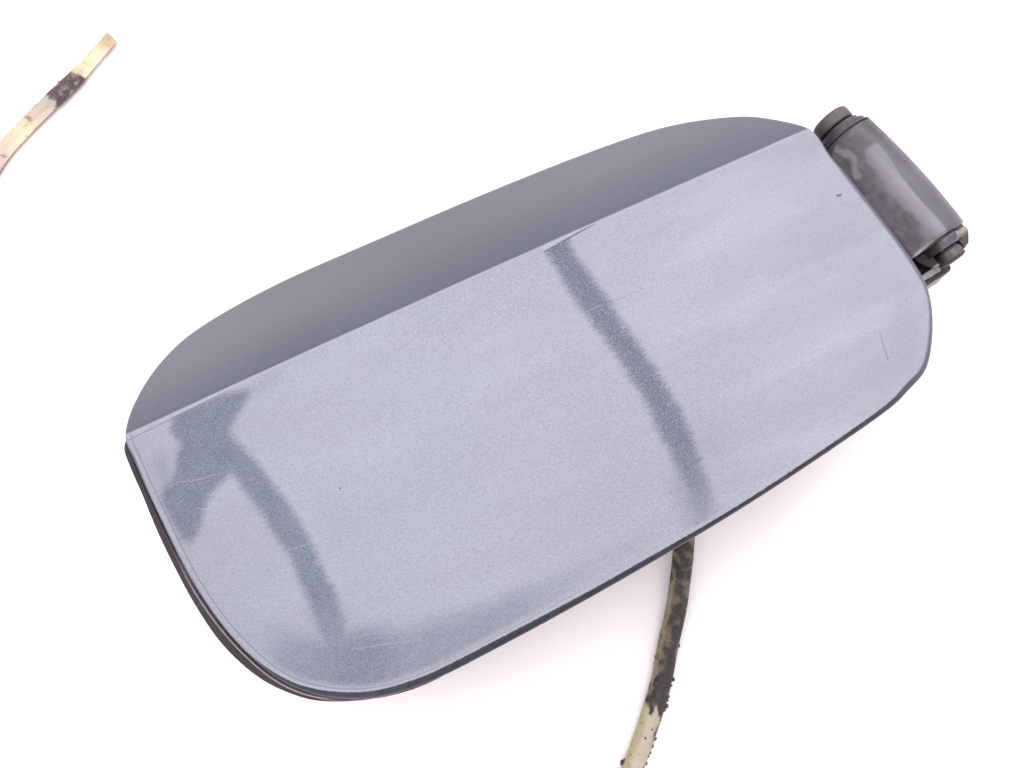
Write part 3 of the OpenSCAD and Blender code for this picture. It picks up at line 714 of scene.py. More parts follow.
    # grain of the dust and of the paint
    gr = g.math("ADD", g.math("MULTIPLY", grain, 0.55), g.math("MULTIPLY", grain2, 0.45))
    gr = g.math("ADD", g.math("MULTIPLY", gr, 0.6), g.math("MULTIPLY", grain3, 0.4))
    col = g.mix(1.0, col, g.mix(g.mapr(X, 40, 90), g.mapr(gr, 0.32, 0.68, 0.74, 1.26), g.mapr(gr, 0.32, 0.68, 0.84, 1.16)), "MULTIPLY")
    gs = g.math("ADD", g.math("MULTIPLY", grain2, 0.3), g.math("MULTIPLY", grain3, 0.7))
    # the light specks are painted glints of the metal flake; the dark specks are paint grain
    flake_glint = g.math("MULTIPLY", g.mapr(gs, 0.52, 0.62, 0, 0.75), cover)
    col = g.mix(flake_glint, col, g.mix(g.mapr(X, -10, 30), lin(178, 184, 206), lin(188, 193, 212)))
    spk2 = g.math("MULTIPLY", g.mapr(gs, 0.48, 0.38, 0, 0.65), cover)
    col = g.mix(spk2, col, lin(82, 89, 110))
    col = g.mix(facet, col, g.mix(1.0, fac, g.mapr(gr, 0.3, 0.7, 0.86, 1.14), "MULTIPLY"))
    col = g.mix(1.0, col, g.attr("tone"), "MULTIPLY")
    col = g.mix(g.math("MULTIPLY", lit, g.mapr(X, 112, 104)), col, lin(204, 204, 218))
    # clean rolled edge: dark paint, painted lighter as a reflection where rimlight is high, and painted darker as shade
    # towards the outer edge where it is low
    rim = g.attr("rim")
    lo = g.mapr(g.attr("rimlight"), 0.3, 0.9, -0.02, -0.55)
    band = g.math("DIVIDE", g.math("SUBTRACT", g.math("ADD", rim, g.mapr(fine, 0.3, 0.7, -0.1, 0.1)), lo), g.math("SUBTRACT", 0.18, lo), clamp=True)
    band = g.math("SUBTRACT", 1.0, band)
    band_c = g.mix(g.attr("rimlight"), lin(45, 49, 65), lin(132, 130, 150))
    band_c = g.mix(g.mapr(g.noise(240, 3, 0.6), 0.45, 0.7, 0, 0.35), band_c, lin(110, 108, 124))
    off = g.math("SUBTRACT", 1.0, facet)
    deep = g.math("SUBTRACT", 1.0, g.math("MULTIPLY", g.mapr(g.attr("edge"), 0.95, 0.35, 0, 0.55), g.math("SUBTRACT", 1.0, g.attr("rimlight"))))
    band_c = g.mix(1.0, band_c, deep, "MULTIPLY")
    col = g.mix(g.math("MULTIPLY", band, off), col, band_c)
    # painted highlight: a thin light line on the band where rimline is set
    edge_line = g.math("MULTIPLY", g.pulse(rim, 0.36, 0.22), g.math("MULTIPLY", g.attr("rimline"), 0.7))
    col = g.mix(g.math("MULTIPLY", edge_line, off), col, lin(208, 201, 220))
    # turned-in edge: grimy, with the hem painted light, which gives the highlight line at its lower edge
    part = g.attr("part")
    side = g.mapr(part, 0.5, 1.0)
    hem_c = g.mix(g.mapr(g.noise(120, 5, 0.65), 0.4, 0.65), lin(78, 80, 96), lin(128, 124, 134))
    col = g.mix(side, col, hem_c)
    col = g.mix(g.math("MULTIPLY", g.mapr(part, 1.5, 2.0), 0.8), col, lin(172, 164, 160))
    inner = g.mapr(part, 2.5, 3.0)
    col = g.mix(inner, col, lin(96, 96, 104))
    col = g.mix(1.0, col, (0.52, 0.52, 0.52), "MULTIPLY")
    smooth_ = g.math("MAXIMUM", g.math("MULTIPLY", cover, 0.8), g.math("MAXIMUM", facet, band))
    rough = g.mapr(smooth_, 0, 1, 0.68, 0.36)
    g.out(Base_Color=col, Roughness=rough, Metallic=0.0, Normal=g.bump(grain, 0.10, 0.00004))
    g.bsdf.inputs["Specular IOR Level"].default_value = 0.4
    return g.mat


lid.data.materials.append(lid_material())


# ---------------------------------------------------------------------------
# inner panel of the lid, with its stamped beads
# ---------------------------------------------------------------------------
def make_panel():
    L, nrm, n = OUT_L, OUT_N, N_OUT
    P = L - nrm * 4.15
    scales = np.concatenate([np.linspace(0.02, 0.8, 44), np.linspace(0.81, 1.0, 22)])

    def beads(q):
        e = poly_dist(q, P[::2])
        b = 1.15 * smoothstep(3.0, 5.5, e) * smoothstep(13.0, 10.5, e)
        # three shallow troughs across, one along
        for x0 in (-62.0, -14.0, 34.0):
            b = np.maximum(b, 1.1 * smoothstep(5.0, 3.2, np.abs(q[:, 0] - x0 - 0.12 * (q[:, 1]))) * smoothstep(16, 19, e) * smoothstep(-2, 3, np.abs(q[:, 1] + 12) - 6))
        return b

    V = []
    for s in scales:
        q = MID + s * (P - MID)
        V.append(np.column_stack([q, soft_face_z(q[:, 0], q[:, 1]) - 1.38]))
    q = P - nrm * -0.12
    V.append(np.column_stack([q, face_z(q[:, 0], q[:, 1]) - 1.7]))
    V.append(np.column_stack([q, face_z(q[:, 0], q[:, 1]) - 3.1]))
    for s in scales[::-1]:
        q = MID + s * (P - MID)
        V.append(np.column_stack([q, soft_face_z(q[:, 0], q[:, 1]) - 1.35 - 2.15 - beads(q)]))
    k = len(V)
    V = np.concatenate(V)
    F = grid_faces(k, n)
    F.append(tuple(reversed(range(n))))
    F.append(tuple((k - 1) * n + i for i in range(n)))
    ob = mesh_object("lid_inner_panel", V, F)
    clean_normals(ob)
    return ob


panel = make_panel()
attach(panel, "lid")
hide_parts("lid_carrier")


# ---------------------------------------------------------------------------
# rubber strip on the flange
# ---------------------------------------------------------------------------
SEAL = [(101.5, 36.5, 47), (95, 43.5, 47), (86, 49.5, 47), (72, 54.8, 47),
        (50, 58.2, 47), (20, 60.3, 47), (-20, 61.8, 47), (-60, 62.2, 47),
        (-84, 60, 47), (-99, 54.8, 47.4), (-110.4, 49.6, 48.6), (-119.4, 44.8, 50),
        (-124.6, 40.4, 51.6), (-126.3, 36.3, 53), (-126, 30, 53),
        (-124.4, 19.1, 53), (-123, 8.1, 53), (-120.9, -3.8, 53), (-117.2, -19.8, 53),
        (-111.8, -34.9, 53), (-103.3, -48.1, 53), (-93.8, -57.4, 51.2),
        (-84.6, -62.3, 50.2), (-71.8, -65.8, 50), (-58, -66.8, 50), (-44, -65, 50),
        (-28, -61.2, 49.6), (0, -56.4, 49.2), (30, -51.8, 49), (60, -46.6, 49),
        (86, -39.6, 49), (101, -31.5, 49), (108.3, -22.5, 49)]


def make_seal():
    Ls = open_curve(SEAL, 12)
    t = np.gradient(Ls[:, :2], axis=0)
    t /= np.linalg.norm(t, axis=1)[:, None]
    out_ = np.stack([t[:, 1], -t[:, 0]], 1)
    V, sec, under = [], [], []
    f = 44.0
    k = 0
    # the lip follows the lid's edge with an even gap as it is seen from above
    eye = np.array([27.84, -50.95])
    hem_z = np.interp(Ls[:, 1], [-67, -45, -20, 20, 45], [56.0, 57.2, 58.6, 59.4, 59.0])
    k_ = (285.08 - hem_z) / (285.08 - Ls[:, 2])
    seen = eye + k_[:, None] * (Ls[:, :2] - eye)
    gap = -poly_dist(seen, OUT_L)
    true_gap = -poly_dist(Ls[:, :2], OUT_L)
    reach = np.minimum(np.clip(gap - 2.47 + 0.18, -0.5, 2.1), true_gap - 2.47 - 0.3)
    reach = np.clip(np.where(true_gap > 1.5, reach, 0.0), -0.5, 2.1)
    e_vis = true_gap
    reach = np.convolve(np.pad(reach, 6, mode="edge"), np.ones(13) / 13, mode="valid")
    for (x, y, top), o, e in zip(Ls, out_, reach):
        wob = 0.05 * math.sin(k * 0.37) + 0.04 * math.sin(k * 0.113 + 1)
        k += 1
        prof = [(0, f), (-0.02, f + 1.2), (-0.22, f + 1.5), (-0.22, f + 1.9), (-0.02, f + 2.2)]
        prof += [(-0.03 + wob * 0.3, (f + 2.2) * 0.5 + (top - 0.8) * 0.5)]
        for a in np.radians([0, 22, 45, 68, 90]):
            prof.append((-0.75 + 0.72 * math.cos(a), top - 0.75 + 0.72 * math.sin(a)))
        prof.append((-1.25 - e * 0.5, top - 0.10))
        for a in np.radians([90, 112, 135, 158, 180]):
            prof.append((-1.75 - e + 0.72 * math.cos(a), top - 0.75 + 0.72 * math.sin(a)))
        prof += [(-2.47 - e * 0.3, f + 2.6), (-2.75, f + 2.05), (-3.6, f + 1.62), (-3.88, f + 1.3), (-3.9, f)]
        for j, (d, z) in enumerate(prof):
            V.append((x + d * o[0], y + d * o[1], z))
            sec.append(j)
            under.append(1.0 if e_vis[k - 1] > 1.5 else 0.0)
    n = len(prof)
    Vn = np.array(V)
    kk = np.repeat((285.08 - hem_z), n) / (285.08 - Vn[:, 2])
    away = -poly_dist(eye + kk[:, None] * (Vn[:, :2] - eye), OUT_L)
    F = grid_faces(len(Ls), n)
    F.append(tuple(range(n)))
    F.append(tuple(reversed([(len(Ls) - 1) * n + i for i in range(n)])))
    ob = mesh_object("rim_seal_strip", V, F, attrs={"sec": sec, "under": under, "away": away})
    clean_normals(ob)
    return ob


seal = make_seal()
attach(seal, "housing")
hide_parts("rim_seal")


def seal_material():
    g = G("seal_rubber")
    n1 = g.noise(70, 5, 0.6)
    n2 = g.noise(900, 3, 0.6)
    col = g.mix(g.mapr(n1, 0.35, 0.65), lin(52, 46, 50), lin(72, 64, 68))
    col = g.mix(g.mapr(n2, 0.55, 0.75, 0, 0.35), col, lin(120, 112, 112))
    s = g.attr("sec")
    # dust on the outer shoulder and a painted highlight line on the inner one
    lie_ = g.mapr(g.attr("under"), 0.0, 1.0)
    outer = g.math("MULTIPLY", g.pulse(s, 7.2, 1.2), g.mapr(n1, 0.3, 0.7, 0.2, 0.55))
    where = g.n("ShaderNodeSeparateXYZ")
    g.link(g.vmath("MULTIPLY", g.obj, (1000, 1000, 1000)), where.inputs[0])
    lie_ = g.math("MULTIPLY", lie_, g.math("MULTIPLY", g.mapr(where.outputs[1], -6, -16), g.mapr(where.outputs[0], -82, -88)))
    inner = g.math("MULTIPLY", g.pulse(g.attr("away"), 0.5, 0.22), g.math("MULTIPLY", lie_, g.mapr(g.noise(200, 3), 0.3, 0.7, 0.6, 0.95)))
    col = g.mix(outer, col, lin(128, 120, 122))
    # painted light: the rubber is made up to 1.9 times lighter where the lid shades it, on the lower side next to the
    # lid, and darkened to 0.56 elsewhere
    lid_shadow_lift = g.math("MULTIPLY", g.mapr(g.attr("away"), 0.75, 0.3), g.mapr(where.outputs[1], 8, -8))
    col = g.mix(1.0, col, g.mapr(lid_shadow_lift, 0, 1, 0.56, 1.9), "MULTIPLY")
    col = g.mix(inner, col, lin(172, 166, 170))
    g.out(Base_Color=col, Roughness=g.mapr(n1, 0.3, 0.7, 0.55, 0.8), Normal=g.bump(n2, 0.2, 0.00008))
    return g.mat


seal.data.materials.append(seal_material())


# ---------------------------------------------------------------------------
# hinge
# ---------------------------------------------------------------------------
HC, HS = math.cos(math.radians(11.7)), math.sin(math.radians(11.7))


def hinge_xyz(g):
    """coordinates in mm about the pin: across, along, up, and degrees from the top"""
    sep = g.n("ShaderNodeSeparateXYZ")
    g.link(g.vmath("SUBTRACT", g.vmath("MULTIPLY", g.obj, (1000, 1000, 1000)), (124.2, 13.5, 49)), sep.inputs[0])
    X, Y, Z = sep.outputs
    xp = g.math("ADD", g.math("MULTIPLY", X, HC), g.math("MULTIPLY", Y, HS))
    yp = g.math("SUBTRACT", g.math("MULTIPLY", Y, HC), g.math("MULTIPLY", X, HS))
    phi = g.math("MULTIPLY", g.math("ARCTAN2", xp, Z), 57.2958)
    return xp, yp, Z, phi


def vec(g, x, y, z=0.0):
    c = g.n("ShaderNodeCombineXYZ")
    g.set(c.inputs[0], x)
    g.set(c.inputs[1], y)
    g.set(c.inputs[2], z)
    return c.outputs[0]


def barrel_dirt(g, big, mid, fine):
    c = g.mix(g.mapr(big, 0.38, 0.62), lin(101, 94, 97), lin(124, 117, 122))
    c = g.mix(g.mapr(mid, 0.5, 0.72, 0, 0.8), c, lin(141, 134, 139))
    c = g.mix(g.mapr(mid, 0.44, 0.28, 0, 0.6), c, lin(92, 82, 80))
    return g.mix(g.mapr(fine, 0.3, 0.7, 0, 0.25), c, lin(132, 124, 128))


def hinge_material():
    g = G("hinge_paint")
    xp, yp, zp, phi = hinge_xyz(g)
    big, mid, fine = g.noise(120, 4, 0.6), g.noise(330, 5, 0.62), g.noise(1500, 2)
    dirt = barrel_dirt(g, big, mid, fine)
    side = g.mix(g.mapr(big, 0.35, 0.65), lin(124, 120, 130), lin(133, 129, 138))
    band_c = g.mix(g.mapr(mid, 0.4, 0.7), lin(153, 149, 160), lin(166, 163, 172))
    on_barrel = g.mapr(g.math("SQRT", g.math("ADD", g.math("MULTIPLY", xp, xp), g.math("MULTIPLY", zp, zp))), 9.6, 9.2)
    along = g.mapr(yp, -20, 14, 0, 1)
    deg = lambda v: ((v + 90) / 180.0,) * 3
    at_ = lambda v: (v + 20) / 34.0
    right = g.ramp(along, [(0.0, deg(2)), (at_(-14.9), deg(3)), (at_(-10.1), deg(0.5)), (at_(-4.8), deg(1)), (at_(0.7), deg(3)), (at_(5.2), deg(9)), (at_(12.2), deg(13)), (1.0, deg(8))])
    left = g.ramp(along, [(0.0, deg(-21)), (at_(-15.7), deg(-27)), (at_(-10.1), deg(-26)), (at_(-6.6), deg(-34)), (at_(-2.5), deg(-31)), (at_(0.5), deg(-29)), (at_(3.5), deg(-24)), (at_(9.1), deg(-22)), (at_(11.6), deg(-17)), (1.0, deg(-3))])
    right = g.mapr(right, 0, 1, -90, 90)
    left = g.mapr(left, 0, 1, -90, 90)
    wob = g.mapr(g.noise(260, 2, 0.5), 0.3, 0.7, -4, 4)
    # painted highlight: a lighter band between the angles in left and right along the top of the barrel stands in for
    # the overhead light's reflection; the side face beyond it keeps the plain paint
    is_side = g.mapr(g.math("SUBTRACT", phi, right), -1.2, 2.2)
    in_highlight_band = g.math("MULTIPLY", g.mapr(g.math("SUBTRACT", g.math("ADD", phi, wob), left), -3.5, 3.5), g.math("SUBTRACT", 1.0, is_side))
    band_c = g.ramp(g.mapr(phi, -40, 4, 0, 1), [(0.0, lin(130, 120, 127)), (0.28, lin(141, 132, 140)), (0.5, lin(146, 140, 148)), (0.64, lin(153, 148, 157)), (0.82, lin(166, 163, 172)), (1.0, lin(152, 148, 156))])
    band_c = g.mix(g.mapr(mid, 0.4, 0.72, 0, 0.35), band_c, lin(150, 143, 152))
    top_fade = g.mapr(g.math("ADD", yp, g.mapr(big, 0.3, 0.7, -0.8, 0.8)), 12.9, 11.4)
    side_fade = g.mapr(g.math("ADD", yp, g.mapr(mid, 0.3, 0.7, -2.5, 2.5)), 18.5, 13.0)
    side = g.mix(1.0, side, (0.86, 0.86, 0.86), "MULTIPLY")
    col = g.mix(g.math("MULTIPLY", g.math("MULTIPLY", in_highlight_band, top_fade), 0.95), dirt, band_c)
    col = g.mix(g.math("MULTIPLY", is_side, side_fade), col, side)
    # light smears on the dirty part; the arc length stands in for the angle
    S = vec(g, g.math("MULTIPLY", phi, 0.155), yp)
    sm = seg_dist(g, S, [(-7.7, 17.9), (-7.1, 16.0), (-6.1, 14.2), (-5.9, 12.6), (-6.9, 10.6), (-7.9, 9.4), (-8.2, 8.0)])
    sm = g.mapr(g.math("ADD", sm, g.mapr(mid, 0.3, 0.7, -0.6, 0.6)), 1.5, 0.5, 0, 0.8)
    sm2 = g.mapr(g.math("ADD", seg_dist(g, S, [(-2.6, 18.4), (-0.6, 18.8), (1.6, 17.8)]), g.mapr(mid, 0.3, 0.7, -0.4, 0.4)), 0.8, 0.2, 0, 0.5)
    sm4 = g.mapr(g.math("ADD", seg_dist(g, S, [(-5.0, -15.5), (-4.6, -17.5), (-5.6, -19.2), (-8.0, -19.6)]), g.mapr(mid, 0.3, 0.7, -0.7, 0.7)), 1.6, 0.4, 0, 0.6)
    sm3 = g.mapr(g.math("ADD", seg_dist(g, S, [(-5, 1.7), (-4.6, -2.4), (-7, -4.5)]), g.mapr(mid, 0.3, 0.7, -0.8, 0.8)), 1.3, 0.3, 0, 0.55)
    col = g.mix(sm, col, lin(172, 163, 166))
    col = g.mix(sm2, col, lin(158, 150, 154))
    col = g.mix(sm3, col, lin(150, 138, 146))
    col = g.mix(sm4, col, lin(150, 139, 147))
    # worn, dusty rim at the lower end
    rimw = g.math("MULTIPLY", g.mapr(yp, -18.9, -19.5), g.mapr(phi, -22, -40, 0, 0.75))
    col = g.mix(rimw, col, lin(176, 166, 166))
    plain = g.mix(g.mapr(big, 0.38, 0.62), lin(84, 80, 84), lin(112, 106, 108))
    plain = g.mix(g.mapr(mid, 0.5, 0.7, 0, 0.7), plain, lin(126, 112, 98))
    # the flank that faces the lid is painted up to four times lighter to lift the lid's shade on it; dark grease by the
    # upper end
    flank = g.ramp(g.mapr(phi, -80, -28, 0, 1), [(0.0, (0.97,) * 3), (0.1, (0.94,) * 3), (0.23, (0.80,) * 3), (0.4, (0.53,) * 3), (0.56, (0.38,) * 3), (0.72, (0.29,) * 3), (1.0, (0.25,) * 3)])
    col = g.mix(1.0, col, g.math("MULTIPLY", flank, 4.0), "MULTIPLY")
    col = g.mix(g.math("MULTIPLY", g.mapr(yp, 0, 9), g.mapr(phi, -34, -20)), col, g.mix(1.0, col, (0.82, 0.82, 0.82), "MULTIPLY"))
    col = g.mix(1.0, col, (0.985, 0.985, 1.06), "MULTIPLY")
    top_d = g.math("MULTIPLY", g.mapr(yp, 11.5, 13.5), g.mapr(phi, -46, -26))
    col = g.mix(1.0, col, g.mapr(top_d, 0, 1, 1.0, 0.76), "MULTIPLY")
    grease = g.math("MULTIPLY", g.mapr(g.math("ADD", yp, g.mapr(mid, 0.3, 0.7, -1, 1)), 17.6, 19.2), g.mapr(phi, -30, -44))
    col = g.mix(g.math("MULTIPLY", grease, 0.85), col, lin(92, 86, 94))
    col = g.mix(on_barrel, plain, col)
    col = g.mix(1.0, col, (0.535, 0.535, 0.535), "MULTIPLY")
    rough = g.mapr(mid, 0.3, 0.7, 0.34, 0.52)
    g.out(Base_Color=col, Roughness=rough, Metallic=0.0, Normal=g.bump(fine, 0.12, 0.00006, g.bump(mid, 0.15, 0.0002)))
    return g.mat


def pin_material():
    g = G("pin_steel")
    xp, yp, zp, phi = hinge_xyz(g)
    big, mid, fine = g.noise(150, 4, 0.6), g.noise(420, 5, 0.65), g.noise(1900, 2)
    head = g.mix(g.mapr(big, 0.35, 0.65), lin(97, 92, 95), lin(111, 106, 109))
    head = g.mix(g.mapr(yp, 25.2, 24.5, 0, 0.75), head, lin(60, 58, 64))
    knob = g.mix(g.mapr(mid, 0.35, 0.65), lin(80, 75, 79), lin(124, 119, 123))
    # painted shade: the knob darker on its side towards the lid, and its end face nearly black
    knob = g.mix(1.0, knob, g.mapr(phi, -60, -20, 0.4, 1.0), "MULTIPLY")
    knob = g.mix(g.mapr(yp, -26.1, -26.5, 0, 0.9), knob, lin(30, 27, 29))
    col = g.mix(g.mapr(yp, -20, -22), head, knob)
    shaft = g.math("MULTIPLY", g.mapr(yp, -22.6, -21.6), g.mapr(yp, 23.4, 22.4))
    col = g.mix(shaft, col, lin(120, 118, 118))
    col = g.mix(1.0, col, (0.55, 0.55, 0.55), "MULTIPLY")
    g.out(Base_Color=col, Roughness=g.mapr(mid, 0.3, 0.7, 0.42, 0.62), Metallic=g.math("MULTIPLY", shaft, 0.7),
          Normal=g.bump(fine, 0.15, 0.00008, g.bump(mid, 0.35, 0.0003)))
    return g.mat


def housing_material():
    g = G("housing_moulding")
    xp, yp, zp, phi = hinge_xyz(g)
    big, mid, fine = g.noise(45, 5, 0.6), g.noise(260, 5, 0.65), g.noise(1700, 2)
    base = g.mix(g.mapr(big, 0.35, 0.65), lin(50, 43, 40), lin(74, 66, 61))
    base = g.mix(g.mapr(mid, 0.52, 0.72, 0, 0.6), base, lin(118, 108, 98))
    # dirt lies on what faces up
    geo = g.n("ShaderNodeNewGeometry")
    up_ = g.n("ShaderNodeSeparateXYZ")
    g.link(geo.outputs["Normal"], up_.inputs[0])
    lie = g.math("MULTIPLY", g.mapr(up_.outputs[2], 0.4, 0.95), g.mapr(big, 0.3, 0.62, 0.15, 0.75))
    base = g.mix(lie, base, lin(128, 118, 106))
    # round the hinge
    near = g.math("MULTIPLY", g.mapr(xp, -19, -14), g.mapr(zp, -18, -14))
    brown = g.mix(g.mapr(mid, 0.35, 0.65), lin(84, 72, 66), lin(118, 106, 98))
    olive = g.mix(g.mapr(g.noise(500, 4), 0.4, 0.65), lin(34, 28, 27), lin(60, 50, 47))
    olive = g.mix(g.mapr(g.noise(700, 3, vec=g.mapping(scale=(0.25, 1, 1), rot=(0, 0, math.radians(-60)))), 0.52, 0.7, 0, 0.5), olive, lin(112, 100, 94))
    low = g.math("MULTIPLY", g.mapr(xp, 0, -4), g.mapr(yp, -19, -20.4))
    c = g.mix(low, brown, olive)
    # painted shade: the boss dark on its side towards the lid, lilac elsewhere
    boss = g.math("MULTIPLY", g.mapr(g.math("SQRT", g.math("ADD", g.math("MULTIPLY", xp, xp), g.math("MULTIPLY", zp, zp))), 5.7, 5.45), g.math("MULTIPLY", g.mapr(yp, -23.0, -22.6), g.mapr(yp, -20.0, -20.4)))
    c = g.mix(boss, c, g.mix(g.mapr(phi, -26, -14), lin(66, 60, 66), g.mix(g.mapr(mid, 0.35, 0.65), lin(112, 106, 118), lin(136, 130, 142))))
    # the beige ear, painted lighter towards the barrel end as its highlight
    ear = g.math("MULTIPLY", g.mapr(xp, 2.6, 3.4), g.mapr(yp, -20.0, -20.4))
    ear_c = g.ramp(g.mapr(yp, -25.5, -20.4, 0, 1), [(0.0, lin(88, 84, 86)), (0.5, lin(104, 98, 100)), (0.66, lin(150, 142, 140)), (0.78, lin(200, 190, 184)), (1.0, lin(214, 204, 198))])
    c = g.mix(g.math("MULTIPLY", ear, 0.92), c, g.mix(g.mapr(mid, 0.4, 0.62, 0, 0.5), ear_c, g.mix(1.0, ear_c, (0.7, 0.68, 0.66), "MULTIPLY")))
    upper = g.mapr(yp, 19.4, 19.9)
    up_c = g.mix(1.0, barrel_dirt(g, g.noise(120, 4, 0.6), g.noise(330, 5, 0.62), fine), (0.80, 0.79, 0.86), "MULTIPLY")
    up_c = g.mix(g.mapr(phi, -28, -44, 0, 0.85), up_c, lin(84, 78, 86))
    c = g.mix(upper, c, up_c)
    wall = g.mapr(yp, -24.9, -25.15)
    c = g.mix(wall, c, g.mix(g.mapr(mid, 0.35, 0.65), lin(84, 77, 76), lin(112, 104, 103)))
    # painted highlight on the upper part of the wall and the notch dirt beyond the pin's end
    c = g.mix(g.math("MULTIPLY", wall, g.mapr(zp, -3.6, -2.8)), c, g.mix(g.mapr(mid, 0.4, 0.6), lin(190, 181, 180), lin(150, 141, 138)))
    c = g.mix(g.math("MULTIPLY", wall, g.mapr(yp, -27.8, -28.1, 0, 0.8)), c, lin(178, 172, 172))
    col = g.mix(near, base, c)
    col = g.mix(1.0, col, (0.55, 0.55, 0.55), "MULTIPLY")
    gloss = g.mapr(near, 0, 1, 0.5, 0.42)
    g.bsdf.inputs["Specular IOR Level"].default_value = 0.22
    g.out(Base_Color=col, Roughness=g.math("ADD", gloss, g.mapr(mid, 0.3, 0.7, -0.05, 0.12)), Normal=g.bump(fine, 0.12, 0.00008, g.bump(mid, 0.2, 0.0002)))
    return g.mat


def pin_point(yp, deg, r):
    a = math.radians(deg)
    xp, zp = r * math.sin(a), r * math.cos(a)
    return (124.2 + xp * HC - yp * HS, 13.5 + xp * HS + yp * HC, 49 + zp)


def revolve_pin(name, prof, rough, steps=96, start=0.0, end=360.0, seed=3.0, freq=0.9, off=0.0, taper=0.0):
    """turn a profile of (along, radius) about the pin, a little uneven"""
    closed = end - start > 359
    n = steps if closed else steps + 1
    V = []
    for i in range(n):
        d = start + (end - start) * i / steps
        ease = 1.0
        if taper:
            ease = float(np.clip(min(d - start, end - d) / taper, 0.02, 1)) ** 0.5
        for yp, r in prof:
            if taper:
                r = prof[0][1] + (r - prof[0][1]) * ease
            q = np.array([[yp * freq, r * math.sin(math.radians(d)) * freq, r * math.cos(math.radians(d)) * freq]])
            k = float(nz(q, 1.0, seed)[0])
            p_ = pin_point(yp, d, max(0.02, r + rough * k))
            V.append((p_[0] + off * HC, p_[1] + off * HS, p_[2]))
    m = len(prof)
    F = []
    for i in range(n if closed else n - 1):
        for j in range(m):
            a, b = i * m + j, i * m + (j + 1) % m
            c, e = ((i + 1) % n) * m + (j + 1) % m, ((i + 1) % n) * m + j
            F.append((a, b, c, e))
    if not closed:
        F.append(tuple(range(m)))
        F.append(tuple(reversed([(n - 1) * m + j for j in range(m)])))
    ob = mesh_object(name, V, F)
    clean_normals(ob)
    return ob


# dirt packed between the barrel and the upper ear
packed = revolve_pin("joint_dirt_upper", [(20.58, 5.2), (21.12, 5.2), (21.12, 7.85), (21.02, 7.97), (20.86, 8.02), (20.68, 8.02), (20.58, 7.96)], 0.06)
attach(packed, "housing")
# rounded boss round the lower end of the pin
boss = revolve_pin("lower_boss", [(-20.46, 4.4), (-22.75, 4.4), (-22.95, 4.6), (-23.02, 4.9), (-22.95, 5.3), (-22.7, 5.75), (-22.2, 6.2), (-21.6, 6.5), (-21.0, 6.62), (-20.46, 6.6)], 0.10, steps=40, start=-40, end=46, seed=8, taper=24)
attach(boss, "housing")
# dirt packed into the notch below the lower end of the pin
def make_fillet():
    a, b = np.array([-10.6, -25.2, -2.9]), np.array([-2.6, -25.7, -2.6])
    V, n, m = [], 30, 14
    for i in range(n + 1):
        q = i / n
        c = a + (b - a) * q
        end = math.sin(math.pi * min(1.0, max(0.0, min(q, 1 - q) * 6 + 0.02)) / 2)
        for j in range(m):
            an = 2 * math.pi * j / m
            k = 1 + 0.16 * float(nz(np.array([[q * 5, math.cos(an), math.sin(an)]]), 1.0, 21.0)[0])
            x, y, z = c[0], c[1] + 1.2 * end * k * math.cos(an), c[2] + 1.6 * end * k * math.sin(an)
            V.append((124.2 + x * HC - y * HS, 13.5 + x * HS + y * HC, 49 + z))
    F = [(i * m + j, i * m + (j + 1) % m, (i + 1) * m + (j + 1) % m, (i + 1) * m + j) for i in range(n) for j in range(m)]
    F.append(tuple(reversed(range(m))))
    F.append(tuple(n * m + j for j in range(m)))
    ob = mesh_object("notch_dirt", V, F)
    clean_normals(ob)
    return ob


fillet = make_fillet()
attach(fillet, "housing")
# worn head of the pin
head = revolve_pin("pin_head_wear", [(24.42, 3.6), (24.42, 5.2), (24.55, 5.46), (24.85, 5.62), (25.4, 5.68), (27.6, 5.68), (28.15, 5.56), (28.5, 5.2), (28.62, 4.6), (28.64, 2.0), (28.64, 0.02)], 0.05, seed=11, freq=0.5, off=-0.22)
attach(head, "housing")
# rust and dirt on the end of the pin
crust = revolve_pin("pin_end_crust", [(-22.8, 2.8), (-26.5, 2.8), (-26.62, 3.45), (-26.5, 3.64), (-26.2, 3.74), (-25.6, 3.76), (-24.9, 3.72), (-24.2, 3.76), (-23.85, 3.7), (-23.62, 3.5), (-23.5, 3.2), (-22.8, 3.15)], 0.16, seed=5, freq=1.7)
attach(crust, "housing")


